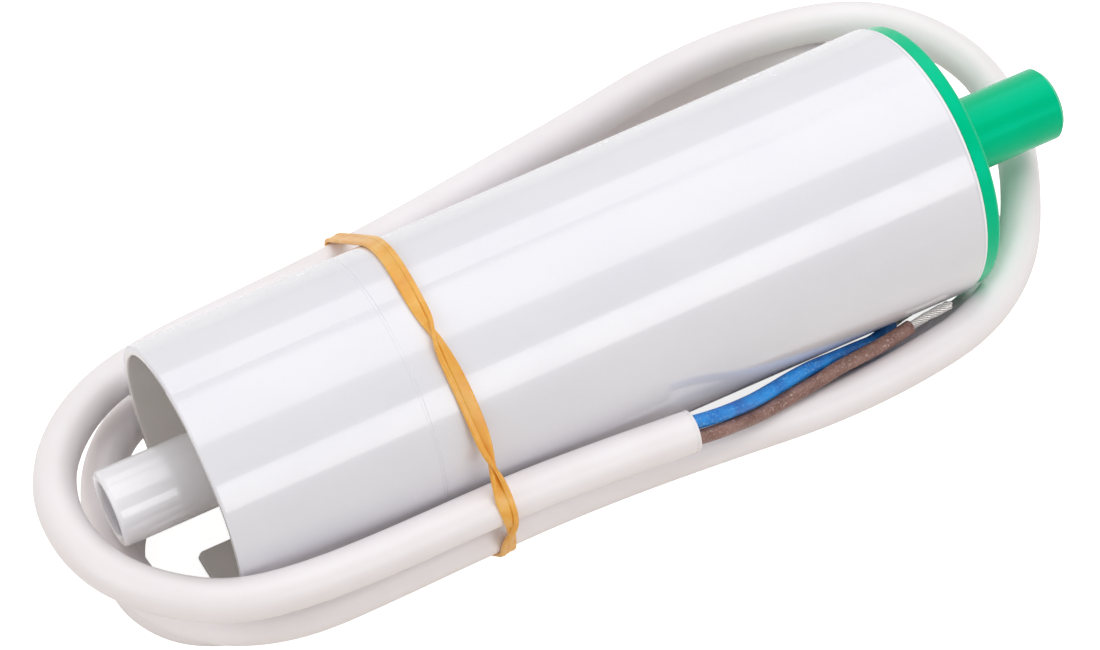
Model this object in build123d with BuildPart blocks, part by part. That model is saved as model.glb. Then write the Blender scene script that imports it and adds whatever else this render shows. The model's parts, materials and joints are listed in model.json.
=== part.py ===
from build123d import *
import os
from math import acos, atan2, cos, degrees, dist, pi, radians, sin, tan

# Caravan water pump: an inline 12 V pump lying on its side with its lead wound round it.
# Millimetres. X runs along the pump axis from the outlet spigot to the inlet spigot, Z is up.
# The origin is on the surface that the pump lies on, under the middle of its length.

os.makedirs("parts", exist_ok=True)

# Driving dimensions of the outside
barrel_length = 85.6
barrel_diameter = 41.0
taper = 1.3
skirt_length = 29.9
cap_diameter = 40.0
cap_flange = 2.3
skirt_wall = 1.45
inlet_reach = 20.7
outlet_reach = 10.9
spigot_diameter = 11.0
spigot_bore = 8.0
barrel_wall = 1.62
bulkhead_setback = 2.4
bulkhead_thickness = 3.0
head_plug_length = 6.0
cap_plug_length = 11.0
plug_wall = 2.85
cable_diameter = 6.0
core_diameter = 2.1
strand_diameter = 1.3

# Driving dimensions of the inside
plug_clearance = 0.05
running_clearance = 0.02
groove_width = 2.2
groove_depth = 1.65
shaft_diameter = 3.0
water_gap = 2.9
capsule_wall = 1.0
can_clearance = 0.2
can_wall = 1.0
neck_length = 9.0
can_setback = 9.5
suction_plate_thickness = 1.5
guide_ring_length = 11.2
cover_setback = 3.4
cover_plug_length = 4.4
lead_diameter = 1.2

# Stations along the pump axis
overall_length = outlet_reach + skirt_length + barrel_length + cap_flange + inlet_reach
outlet_end_x = -overall_length / 2
rim_x = outlet_end_x + outlet_reach
seam_x = rim_x + skirt_length
inlet_end_x = overall_length / 2
flange_face_x = inlet_end_x - inlet_reach
barrel_end_x = flange_face_x - cap_flange
bulkhead_back_x = seam_x - bulkhead_setback
bulkhead_front_x = bulkhead_back_x - bulkhead_thickness
head_plug_end_x = seam_x + head_plug_length
capsule_back_x = bulkhead_back_x + neck_length
can_back_x = capsule_back_x + can_setback
cap_plug_end_x = barrel_end_x - cap_plug_length
suction_plate_x = cap_plug_end_x - suction_plate_thickness
guide_plate_x = suction_plate_x - guide_ring_length
cover_x = guide_plate_x - cover_setback
can_front_x = cover_x - cover_plug_length
motor_length = can_front_x - can_back_x

# Radii about the pump axis
axis_height = barrel_diameter / 2
barrel_radius = barrel_diameter / 2
rim_radius = barrel_radius - taper
seam_radius = rim_radius + taper * skirt_length / (barrel_end_x - rim_x)
bore_radius = seam_radius - barrel_wall
plug_radius = bore_radius - plug_clearance
plug_inner_radius = plug_radius - plug_wall
groove_floor_radius = plug_radius - groove_depth
spigot_radius = spigot_diameter / 2
shaft_radius = shaft_diameter / 2
capsule_radius = bore_radius - water_gap
capsule_bore_radius = capsule_radius - capsule_wall
can_radius = capsule_bore_radius - can_clearance

# Where the lead leaves the bulkhead: half way from the spigot to the skirt, down and to the back
gland_turn = 41.5
gland_distance = (spigot_radius + rim_radius - skirt_wall) / 2
gland_y = gland_distance * sin(radians(gland_turn))
gland_z = axis_height - gland_distance * cos(radians(gland_turn))

# The lead's two conductors inside the pump, side by side in the grommet and in the capsule's neck
lead_radius = lead_diameter / 2
lead_spread = 0.35
lead_offset = lead_radius + lead_spread

pump_axis = Axis((0, 0, axis_height), (1, 0, 0))
axial_plane = Plane(origin=(0, 0, axis_height), x_dir=(1, 0, 0), z_dir=(0, -1, 0))


def station(x, y=0.0, z=axis_height, turn=0.0):
    """A plane across the pump axis at x, facing the inlet, its first direction along Y and then turned."""
    first = (0, cos(radians(turn)), sin(radians(turn)))
    return Plane(origin=(x, y, z), x_dir=first, z_dir=(1, 0, 0))


def half_section(*outline):
    """The face of an outline of (x, radius) points, ready to turn about the pump axis."""
    with BuildSketch(axial_plane) as section:
        with BuildLine():
            Polyline(*outline, close=True)
        make_face()
    return section.sketch


def circles_at(part, x, tolerance=0.01):
    """The circular edges of a part that lie in the plane across the axis at x."""
    return part.edges().filter_by(GeomType.CIRCLE).filter_by_position(Axis.X, x - tolerance, x + tolerance)


def finish(part, name):
    """Label a finished piece and write it."""
    part.label = name
    export_step(part, f"parts/{name}.step")


# Barrel: a slightly tapered tube with a ledge that stops the guide ring
ledge_height = 0.7
ledge_width = 1.2
barrel_end_round = 0.8
barrel_seam_chamfer = 0.25

with BuildPart() as main_housing:
    revolve(half_section(
        (seam_x, bore_radius),
        (seam_x, seam_radius),
        (barrel_end_x, barrel_radius),
        (barrel_end_x, bore_radius),
        (guide_plate_x, bore_radius),
        (guide_plate_x, bore_radius - ledge_height),
        (guide_plate_x - ledge_width, bore_radius - ledge_height),
        (guide_plate_x - ledge_width, bore_radius),
    ), axis=pump_axis)
    fillet(circles_at(main_housing, barrel_end_x).sort_by(SortBy.RADIUS)[-1], radius=barrel_end_round)
    chamfer(circles_at(main_housing, seam_x).sort_by(SortBy.RADIUS)[-1], length=barrel_seam_chamfer)

finish(main_housing.part, "main_housing")

# Outlet head: open skirt, bulkhead, hose spigot, plug into the barrel and the notch for the lead
head_groove_setback = 2.0
head_groove_x = seam_x + head_groove_setback
spigot_lip_round = 0.6
spigot_root_round = 1.5
rim_round = 0.35
gland_hole_radius = 3.7
neck_lead_clearance = 0.85
neck_wall = 0.8
neck_clearance = 0.05
neck_boss_wall = 1.05
neck_boss_length = 4.0
neck_bore_radius = lead_offset + lead_radius + neck_lead_clearance
neck_radius = neck_bore_radius + neck_wall
neck_socket_radius = neck_radius + neck_clearance
notch_width = 15.8
notch_length = 15.0
notch_turn = 23.3
notch_corner = 0.9
notch_depth_from = 10.0
notch_depth_to = 25.0

with BuildPart() as outlet_head:
    revolve(half_section(
        (outlet_end_x, spigot_bore / 2),
        (outlet_end_x, spigot_radius),
        (bulkhead_front_x, spigot_radius),
        (bulkhead_front_x, rim_radius - skirt_wall),
        (rim_x, rim_radius - skirt_wall),
        (rim_x, rim_radius),
        (seam_x, seam_radius),
        (seam_x, plug_radius),
        (head_groove_x, plug_radius),
        (head_groove_x, groove_floor_radius),
        (head_groove_x + groove_width, groove_floor_radius),
        (head_groove_x + groove_width, plug_radius),
        (head_plug_end_x, plug_radius),
        (head_plug_end_x, plug_inner_radius),
        (bulkhead_back_x, plug_inner_radius),
        (bulkhead_back_x, spigot_bore / 2),
    ), axis=pump_axis)
    fillet(circles_at(outlet_head, outlet_end_x), radius=spigot_lip_round)
    fillet(circles_at(outlet_head, bulkhead_front_x).sort_by(SortBy.RADIUS)[0], radius=spigot_root_round)
    fillet(circles_at(outlet_head, rim_x), radius=rim_round)
    chamfer(circles_at(outlet_head, seam_x).sort_by(SortBy.RADIUS)[-1], length=barrel_seam_chamfer)
    # The boss that takes the capsule's neck, and the gland hole through the bulkhead
    with BuildSketch(station(bulkhead_back_x, gland_y, gland_z)):
        Circle(neck_socket_radius + neck_boss_wall)
    extrude(amount=neck_boss_length)
    with BuildSketch(station(bulkhead_back_x, gland_y, gland_z)):
        Circle(neck_socket_radius)
    extrude(amount=neck_boss_length, mode=Mode.SUBTRACT)
    with BuildSketch(station(bulkhead_front_x, gland_y, gland_z)):
        Circle(gland_hole_radius)
    extrude(amount=bulkhead_thickness, mode=Mode.SUBTRACT)
    # The notch opens at the rim with rounded corners and lies towards the floor and the back
    notch_plane = Plane(
        origin=(rim_x, 0, axis_height),
        x_dir=(1, 0, 0),
        z_dir=(0, sin(radians(notch_turn)), -cos(radians(notch_turn))),
    )
    with BuildSketch(notch_plane.offset(notch_depth_from)):
        with BuildLine():
            side = notch_width / 2
            mouth = side + notch_corner
            corner_x = notch_length - notch_corner
            corner_y = side - notch_corner
            Line((notch_corner, -side), (corner_x, -side))
            RadiusArc((corner_x, -side), (notch_length, -corner_y), -notch_corner)
            Line((notch_length, -corner_y), (notch_length, corner_y))
            RadiusArc((notch_length, corner_y), (corner_x, side), -notch_corner)
            Line((corner_x, side), (notch_corner, side))
            RadiusArc((notch_corner, side), (0, mouth), notch_corner)
            Polyline((0, mouth), (-notch_corner, mouth), (-notch_corner, -mouth), (0, -mouth))
            RadiusArc((0, -mouth), (notch_corner, -side), notch_corner)
        make_face()
    extrude(amount=notch_depth_to - notch_depth_from, mode=Mode.SUBTRACT)

finish(outlet_head.part, "outlet_head")

# Inlet cap: flange, hose spigot, plug ring with a seal groove, inner tube and webs
inner_tube_wall = 2.0
inner_tube_radius = spigot_bore / 2 + inner_tube_wall
cap_groove_setback = 4.2
cap_groove_x = cap_plug_end_x + cap_groove_setback
web_count = 6
web_thickness = 1.2
web_setback = 1.5
flange_round = 0.7
inlet_lip_chamfer = 0.6

with BuildPart() as inlet_cap:
    revolve(half_section(
        (inlet_end_x, spigot_bore / 2),
        (inlet_end_x, spigot_radius),
        (flange_face_x, spigot_radius),
        (flange_face_x, cap_diameter / 2),
        (barrel_end_x, cap_diameter / 2),
        (barrel_end_x, plug_radius),
        (cap_groove_x + groove_width, plug_radius),
        (cap_groove_x + groove_width, groove_floor_radius),
        (cap_groove_x, groove_floor_radius),
        (cap_groove_x, plug_radius),
        (cap_plug_end_x, plug_radius),
        (cap_plug_end_x, plug_inner_radius),
        (barrel_end_x, plug_inner_radius),
        (barrel_end_x, inner_tube_radius),
        (cap_plug_end_x, inner_tube_radius),
        (cap_plug_end_x, spigot_bore / 2),
    ), axis=pump_axis)
    chamfer(circles_at(inlet_cap, inlet_end_x), length=inlet_lip_chamfer)
    fillet(circles_at(inlet_cap, flange_face_x).sort_by(SortBy.RADIUS)[-1], radius=flange_round)
    fillet(circles_at(inlet_cap, flange_face_x).sort_by(SortBy.RADIUS)[0], radius=flange_round)
    with BuildSketch(station(cap_plug_end_x + web_setback)):
        with PolarLocations((inner_tube_radius + plug_inner_radius) / 2, web_count):
            Rectangle(plug_inner_radius - inner_tube_radius + web_thickness, web_thickness)
    extrude(amount=barrel_end_x - cap_plug_end_x - web_setback)

finish(inlet_cap.part, "inlet_cap")

# Seals: an O-ring in the groove of each plug
ring_clearance = 0.03
ring_section_radius = (bore_radius - groove_floor_radius) / 2 - ring_clearance
ring_centre_radius = (bore_radius + groove_floor_radius) / 2

for ring_name, groove_x in (("head_o_ring", head_groove_x), ("cap_o_ring", cap_groove_x)):
    with BuildPart() as o_ring:
        with BuildSketch(axial_plane):
            with Locations((groove_x + groove_width / 2, ring_centre_radius)):
                Circle(ring_section_radius)
        revolve(axis=pump_axis)
    finish(o_ring.part, ring_name)

# Suction plate: closes the pump chamber and holds the eye over the impeller
eye_clearance = 0.6
eye_radius = spigot_bore / 2 + eye_clearance

with BuildPart() as suction_plate:
    with BuildSketch(station(suction_plate_x)):
        Circle(plug_radius)
        Circle(eye_radius, mode=Mode.SUBTRACT)
    extrude(amount=suction_plate_thickness)

finish(suction_plate.part, "suction_plate")

# Guide ring: a centre plate, an outer ring and slanted vanes between them, seated on the barrel's ledge
guide_plate_thickness = 1.5
guide_ring_wall = 1.15
guide_passage = 1.7
impeller_margin = 1.0
guide_ring_inner_radius = plug_radius - guide_ring_wall
guide_plate_radius = guide_ring_inner_radius - guide_passage
impeller_radius = guide_plate_radius - impeller_margin
guide_shaft_hole_radius = 2.6
guide_vane_count = 8
guide_vane_thickness = 1.2
guide_vane_length = 4.5
guide_vane_twist = 12.0
vane_overlap = 0.4

with BuildPart() as guide_ring:
    with BuildSketch(station(guide_plate_x)):
        Circle(plug_radius)
        Circle(guide_ring_inner_radius, mode=Mode.SUBTRACT)
    extrude(amount=guide_ring_length)
    with BuildSketch(station(guide_plate_x)):
        Circle(guide_plate_radius)
        Circle(guide_shaft_hole_radius, mode=Mode.SUBTRACT)
    extrude(amount=guide_plate_thickness)
    vane_span = guide_ring_inner_radius - guide_plate_radius + 2 * vane_overlap
    vane_middle = (guide_ring_inner_radius + guide_plate_radius) / 2
    for number in range(guide_vane_count):
        start = 360 * number / guide_vane_count
        with BuildSketch(
            station(guide_plate_x, turn=start),
            station(guide_plate_x + guide_vane_length, turn=start + guide_vane_twist),
        ):
            with Locations((vane_middle, 0)):
                Rectangle(vane_span, guide_vane_thickness)
        loft()

finish(guide_ring.part, "guide_ring")

# Impeller: a back disc, a hub pressed on the shaft and swept-back curved vanes
impeller_gap = 0.5
impeller_disc = 1.2
impeller_vane_height = 5.0
impeller_front_x = suction_plate_x - impeller_gap
impeller_disc_x = impeller_front_x - impeller_vane_height
impeller_back_x = impeller_disc_x - impeller_disc
hub_wall = 1.7
hub_radius = shaft_radius + hub_wall
hub_reach = 1.2
hub_height = 2.6
hub_round = 1.5
hub_nose = 0.5
hub_back_x = impeller_back_x - hub_reach
hub_front_x = impeller_disc_x + hub_height
shaft_tip_x = hub_front_x - hub_nose
vane_count = 7
vane_thickness = 1.1
vane_hub_gap = 1.5
vane_inner_radius = hub_radius + vane_hub_gap
vane_sweep = 62.0
vane_belly = 1.0
vane_outer_radius = impeller_radius - vane_thickness / 2
vane_middle_radius = (vane_inner_radius + vane_outer_radius) / 2 + vane_belly

with BuildPart() as impeller:
    with BuildSketch(station(impeller_back_x)):
        Circle(impeller_radius)
    extrude(amount=impeller_disc)
    with BuildSketch(station(hub_back_x)):
        Circle(hub_radius)
    extrude(amount=hub_front_x - hub_back_x)
    fillet(circles_at(impeller, hub_front_x), radius=hub_round)
    for number in range(vane_count):
        with BuildSketch(station(impeller_disc_x, turn=360 * number / vane_count)):
            with BuildLine():
                ThreePointArc(
                    (vane_inner_radius, 0),
                    (
                        vane_middle_radius * cos(radians(vane_sweep / 2)),
                        vane_middle_radius * sin(radians(vane_sweep / 2)),
                    ),
                    (
                        vane_outer_radius * cos(radians(vane_sweep)),
                        vane_outer_radius * sin(radians(vane_sweep)),
                    ),
                )
            trace(line_width=vane_thickness)
        extrude(amount=impeller_vane_height)
    with BuildSketch(station(hub_back_x)):
        Circle(shaft_radius)
    extrude(amount=shaft_tip_x - hub_back_x, mode=Mode.SUBTRACT)

finish(impeller.part, "impeller")

# Motor capsule: a cup with centring fins, a ledge behind the motor and the neck for the leads
capsule_floor = 1.5
capsule_ledge_seat = 1.4
capsule_ledge_width = 2.5
capsule_ledge_radius = can_radius - capsule_ledge_seat
fin_count = 4
fin_thickness = 1.6
fin_length = 16.0
fin_root_radius = capsule_radius - capsule_wall / 2
fin_clearance = 0.1
fin_radius = bore_radius - fin_clearance
fin_setback = 3.0
front_fin_x = cover_x - fin_length
back_fin_x = capsule_back_x + fin_setback
neck_seat_gap = 0.2
neck_back_x = bulkhead_back_x + neck_seat_gap

with BuildPart() as capsule_cup:
    revolve(half_section(
        (capsule_back_x, 0),
        (capsule_back_x, capsule_radius),
        (cover_x, capsule_radius),
        (cover_x, capsule_bore_radius),
        (can_back_x, capsule_bore_radius),
        (can_back_x, capsule_ledge_radius),
        (can_back_x - capsule_ledge_width, capsule_ledge_radius),
        (can_back_x - capsule_ledge_width, capsule_bore_radius),
        (capsule_back_x + capsule_floor, capsule_bore_radius),
        (capsule_back_x + capsule_floor, 0),
    ), axis=pump_axis)
    for fin_x in (back_fin_x, front_fin_x):
        with BuildSketch(station(fin_x)):
            with PolarLocations((fin_root_radius + fin_radius) / 2, fin_count):
                Rectangle(fin_radius - fin_root_radius, fin_thickness)
        extrude(amount=fin_length)
    with BuildSketch(station(neck_back_x, gland_y, gland_z)):
        Circle(neck_radius)
    extrude(amount=capsule_back_x - neck_back_x)
    with BuildSketch(station(neck_back_x, gland_y, gland_z)):
        Circle(neck_bore_radius)
    extrude(amount=capsule_back_x + capsule_floor - neck_back_x, mode=Mode.SUBTRACT)

finish(capsule_cup.part, "capsule_cup")

# Capsule cover: plugs into the cup, holds the motor's nose and carries the shaft seal
cover_flange = 1.6
cover_boss_gap = 0.2
cover_shaft_clearance = 0.3
front_bush_wall = 1.48
can_nose_wall = 1.0
can_nose_length = 2.0
nose_clearance = 0.1
seal_wall = 2.88
seal_setback = 0.9
cover_boss_wall = 1.6
bush_bore_radius = shaft_radius + running_clearance
front_bush_radius = bush_bore_radius + front_bush_wall
can_nose_radius = front_bush_radius + can_nose_wall
nose_socket_radius = can_nose_radius + nose_clearance
nose_socket_x = can_front_x + can_nose_length + nose_clearance
seal_outer_radius = shaft_radius + running_clearance + seal_wall
seal_socket_radius = seal_outer_radius + running_clearance
seal_back_x = can_front_x + can_nose_length + seal_setback
seal_front_x = guide_plate_x - cover_boss_gap
cover_boss_radius = seal_socket_radius + cover_boss_wall
cover_shaft_hole_radius = shaft_radius + cover_shaft_clearance
cover_plug_radius = capsule_bore_radius - plug_clearance

with BuildPart() as capsule_cover:
    revolve(half_section(
        (can_front_x, nose_socket_radius),
        (can_front_x, cover_plug_radius),
        (cover_x, cover_plug_radius),
        (cover_x, capsule_radius),
        (cover_x + cover_flange, capsule_radius),
        (cover_x + cover_flange, cover_boss_radius),
        (seal_front_x, cover_boss_radius),
        (seal_front_x, seal_socket_radius),
        (seal_back_x, seal_socket_radius),
        (seal_back_x, cover_shaft_hole_radius),
        (nose_socket_x, cover_shaft_hole_radius),
        (nose_socket_x, nose_socket_radius),
    ), axis=pump_axis)

finish(capsule_cover.part, "capsule_cover")

# Shaft seal: a rubber body with two lips that run on the shaft
lip_width = 0.6
seal_relief = 1.1
seal_relief_radius = shaft_radius + seal_relief

with BuildPart() as shaft_seal:
    revolve(half_section(
        (seal_back_x, shaft_radius + running_clearance),
        (seal_back_x, seal_outer_radius),
        (seal_front_x, seal_outer_radius),
        (seal_front_x, shaft_radius + running_clearance),
        (seal_front_x - lip_width, shaft_radius + running_clearance),
        (seal_front_x - lip_width, seal_relief_radius),
        (seal_back_x + lip_width, seal_relief_radius),
        (seal_back_x + lip_width, shaft_radius + running_clearance),
    ), axis=pump_axis)

finish(shaft_seal.part, "shaft_seal")

# Motor can: a drawn steel cup with a nose that holds the front bush
with BuildPart() as motor_can:
    revolve(half_section(
        (can_back_x, can_radius - can_wall),
        (can_back_x, can_radius),
        (can_front_x, can_radius),
        (can_front_x, can_nose_radius),
        (can_front_x + can_nose_length, can_nose_radius),
        (can_front_x + can_nose_length, front_bush_radius),
        (can_front_x - can_wall, front_bush_radius),
        (can_front_x - can_wall, can_radius - can_wall),
    ), axis=pump_axis)

finish(motor_can.part, "motor_can")

# End bell: closes the can, with a boss for the rear bush and slots for the terminals
bell_thickness = 2.2
bell_boss_wall = 1.2
bell_boss_length = 1.6
rear_bush_wall = 0.88
terminal_spread = 4.05
terminal_thickness = 0.5
terminal_width = 2.8
terminal_reach = 3.8
slot_clearance = 0.05
can_bore_radius = can_radius - can_wall
bell_radius = can_bore_radius - plug_clearance
bell_front_x = can_back_x + bell_thickness
bell_boss_x = can_back_x - bell_boss_length
rear_bush_radius = bush_bore_radius + rear_bush_wall
terminal_y = shaft_radius + terminal_spread
terminal_end_x = can_back_x - terminal_reach

with BuildPart() as motor_end_bell:
    with BuildSketch(station(can_back_x)):
        Circle(bell_radius)
    extrude(amount=bell_thickness)
    with BuildSketch(station(bell_boss_x)):
        Circle(rear_bush_radius + bell_boss_wall)
    extrude(amount=bell_boss_length)
    with BuildSketch(station(bell_boss_x)):
        Circle(rear_bush_radius)
    extrude(amount=bell_boss_length + bell_thickness, mode=Mode.SUBTRACT)
    with BuildSketch(station(can_back_x)):
        with Locations((terminal_y, 0), (-terminal_y, 0)):
            Rectangle(terminal_thickness + 2 * slot_clearance, terminal_width + 2 * slot_clearance)
    extrude(amount=bell_thickness, mode=Mode.SUBTRACT)

finish(motor_end_bell.part, "motor_end_bell")

# Bushes at both ends of the shaft
bushes = {
    "front_bush": (can_front_x - can_wall, can_front_x + can_nose_length, front_bush_radius),
    "rear_bush": (bell_boss_x, bell_front_x, rear_bush_radius),
}
for bush_name, (bush_back_x, bush_front_x, bush_radius) in bushes.items():
    with BuildPart() as bush:
        with BuildSketch(station(bush_back_x)):
            Circle(bush_radius)
            Circle(bush_bore_radius, mode=Mode.SUBTRACT)
        extrude(amount=bush_front_x - bush_back_x)
    finish(bush.part, bush_name)

# Magnets: two arc segments on the inside of the can
magnet_thickness_share = 0.1685
magnet_setback = 7.0
magnet_front_gap = 5.0
magnet_gap = 7.0
magnet_outer_radius = can_bore_radius - plug_clearance
magnet_inner_radius = magnet_outer_radius * (1 - magnet_thickness_share)
magnet_x = can_back_x + magnet_setback
magnet_length = motor_length - magnet_setback - magnet_front_gap

for number, side in ((1, 1), (2, -1)):
    with BuildPart() as magnet:
        with BuildSketch(station(magnet_x)):
            Circle(magnet_outer_radius)
            Circle(magnet_inner_radius, mode=Mode.SUBTRACT)
            with Locations((0, -side * magnet_outer_radius / 2 + side * magnet_gap / 4)):
                Rectangle(
                    3 * magnet_outer_radius,
                    magnet_outer_radius + magnet_gap / 2,
                    mode=Mode.SUBTRACT,
                )
        extrude(amount=magnet_length)
    finish(magnet.part, f"magnet_{number}")

# Armature: three poles with wide shoes on one hub
air_gap = 0.6
core_setback = 11.0
core_front_gap = 9.0
pole_count = 3
slot_width = 3.0
shoe_share = 0.19
pole_neck_share = 0.57
hub_ring_share = 0.54
armature_radius = magnet_inner_radius - air_gap
shoe_thickness = armature_radius * shoe_share
shoe_inner_radius = armature_radius - shoe_thickness
pole_length = armature_radius - shoe_thickness / 2
pole_neck_width = shoe_inner_radius * pole_neck_share
hub_ring_radius = shoe_inner_radius * hub_ring_share
core_x = can_back_x + core_setback
core_length = motor_length - core_setback - core_front_gap

with BuildPart() as armature_core:
    with BuildSketch(station(core_x)):
        Circle(armature_radius)
        Circle(shoe_inner_radius, mode=Mode.SUBTRACT)
        with PolarLocations(pole_length, pole_count, start_angle=180 / pole_count):
            Rectangle(2 * shoe_thickness, slot_width, mode=Mode.SUBTRACT)
        with PolarLocations(pole_length / 2, pole_count):
            Rectangle(pole_length, pole_neck_width)
        Circle(hub_ring_radius)
        Circle(shaft_radius, mode=Mode.SUBTRACT)
    extrude(amount=core_length)

finish(armature_core.part, "armature_core")

# Armature coils: one wound block round the neck of each pole
coil_build_share = 0.26
coil_gap = 0.05
coil_hub_gap = 0.4
coil_shoe_gap = 0.3
coil_build = shoe_inner_radius * coil_build_share
coil_inner_radius = hub_ring_radius + coil_hub_gap
coil_outer_radius = shoe_inner_radius - coil_shoe_gap
coil_middle_x = core_x + core_length / 2

for number in range(pole_count):
    turn = radians(360 * number / pole_count)
    outward = (0, cos(turn), sin(turn))
    coil_plane = Plane(origin=(coil_middle_x, 0, axis_height), x_dir=(1, 0, 0), z_dir=outward)
    with BuildPart() as armature_coil:
        with BuildSketch(coil_plane.offset(coil_inner_radius)):
            inside_length = core_length + 2 * coil_gap
            inside_width = pole_neck_width + 2 * coil_gap
            RectangleRounded(inside_length + 2 * coil_build, inside_width + 2 * coil_build, coil_build)
            Rectangle(inside_length, inside_width, mode=Mode.SUBTRACT)
        extrude(amount=coil_outer_radius - coil_inner_radius)
        with BuildSketch(station(core_x - 2 * coil_build)):
            Circle(shoe_inner_radius - coil_gap)
        extrude(amount=core_length + 4 * coil_build, mode=Mode.INTERSECT)
    finish(armature_coil.part, f"armature_coil_{number + 1}")

# Commutator: a ring of copper bars on the shaft
commutator_wall = 1.6
commutator_length = 5.0
commutator_setback = 3.4
bar_slot = 0.5
bar_slot_depth = 0.7
commutator_radius = shaft_radius + commutator_wall
commutator_x = can_back_x + commutator_setback

with BuildPart() as commutator:
    with BuildSketch(station(commutator_x)):
        Circle(commutator_radius)
        Circle(shaft_radius, mode=Mode.SUBTRACT)
        with PolarLocations(commutator_radius, pole_count, start_angle=180 / pole_count):
            Rectangle(2 * bar_slot_depth, bar_slot, mode=Mode.SUBTRACT)
    extrude(amount=commutator_length)

finish(commutator.part, "commutator")

# Shaft: from the rear bush to the impeller hub
shaft_end_gap = 0.3
shaft_back_x = bell_boss_x + shaft_end_gap

with BuildPart() as motor_shaft:
    with BuildSketch(station(shaft_back_x)):
        Circle(shaft_radius)
    extrude(amount=shaft_tip_x - shaft_back_x)

finish(motor_shaft.part, "motor_shaft")

# Brush gear: carbon blocks on leaf arms, each with a terminal through the end bell
brush_length = 2.6
brush_width = 2.4
brush_setback = 1.4
arm_overhang = 0.4
brush_x = commutator_x + brush_setback
brush_inner_y = commutator_radius + running_clearance
brush_outer_y = terminal_y - terminal_thickness / 2
arm_end_x = brush_x + brush_length + arm_overhang

for number, side in ((1, 1), (2, -1)):
    with BuildPart() as brush:
        with BuildSketch(station(brush_x)):
            with Locations((side * (brush_inner_y + brush_outer_y) / 2, 0)):
                Rectangle(brush_outer_y - brush_inner_y, brush_width)
        extrude(amount=brush_length)
    finish(brush.part, f"brush_{number}")
    with BuildPart() as brush_arm:
        with BuildSketch(station(bell_front_x)):
            with Locations((side * terminal_y, 0)):
                Rectangle(terminal_thickness, brush_width)
        extrude(amount=arm_end_x - bell_front_x)
    finish(brush_arm.part, f"brush_arm_{number}")
    with BuildPart() as terminal:
        with BuildSketch(station(terminal_end_x)):
            with Locations((side * terminal_y, 0)):
                Rectangle(terminal_thickness, terminal_width)
        extrude(amount=bell_front_x - terminal_end_x)
    finish(terminal.part, f"terminal_{number}")

# Inner leads: from the terminals through the neck and the grommet to the lead's end
lead_bend = 1.0
lead_run = 1.6
grommet_nose = 4.0
grommet_tip_x = bulkhead_front_x - grommet_nose
inner_leads = {
    "inner_lead_1": (1, terminal_end_x - lead_run, lead_offset),
    "inner_lead_2": (-1, terminal_end_x - 2 * lead_run, -lead_offset),
}
for lead_name, (side, turn_x, across) in inner_leads.items():
    lead_start = (terminal_end_x, side * terminal_y, axis_height)
    lead_stop = (grommet_tip_x, gland_y + across, gland_z)
    with BuildPart() as inner_lead:
        with BuildLine():
            lead_path = FilletPolyline(
                lead_start,
                (turn_x, lead_start[1], lead_start[2]),
                (turn_x, lead_stop[1], lead_stop[2]),
                lead_stop,
                radius=lead_bend,
            )
        with BuildSketch(Plane(origin=lead_start, z_dir=(-1, 0, 0))):
            Circle(lead_radius)
        sweep(path=lead_path)
    finish(inner_lead.part, lead_name)

# Grommet: a rubber gland in the bulkhead with a flange, a tapered nose and a bore for each inner lead
grommet_flange = 1.0
grommet_flange_margin = 0.6
grommet_nose_margin = 0.2
grommet_tip_margin = 0.4
lead_bore_clearance = 0.03
grommet_flange_x = bulkhead_front_x - grommet_flange

with BuildPart() as cable_grommet:
    with BuildSketch(station(bulkhead_front_x, gland_y, gland_z)):
        Circle(gland_hole_radius - running_clearance)
    extrude(amount=bulkhead_thickness)
    with BuildSketch(station(grommet_flange_x, gland_y, gland_z)):
        Circle(gland_hole_radius + grommet_flange_margin)
    extrude(amount=grommet_flange)
    with BuildSketch(station(grommet_tip_x, gland_y, gland_z)):
        Circle(cable_diameter / 2 + grommet_tip_margin)
    with BuildSketch(station(grommet_flange_x, gland_y, gland_z)):
        Circle(gland_hole_radius + grommet_nose_margin)
    loft()
    with BuildSketch(station(grommet_tip_x, gland_y, gland_z)):
        with Locations((lead_offset, 0), (-lead_offset, 0)):
            Circle(lead_radius + lead_bore_clearance)
    extrude(amount=bulkhead_back_x - grommet_tip_x, mode=Mode.SUBTRACT)

finish(cable_grommet.part, "cable_grommet")

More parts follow.
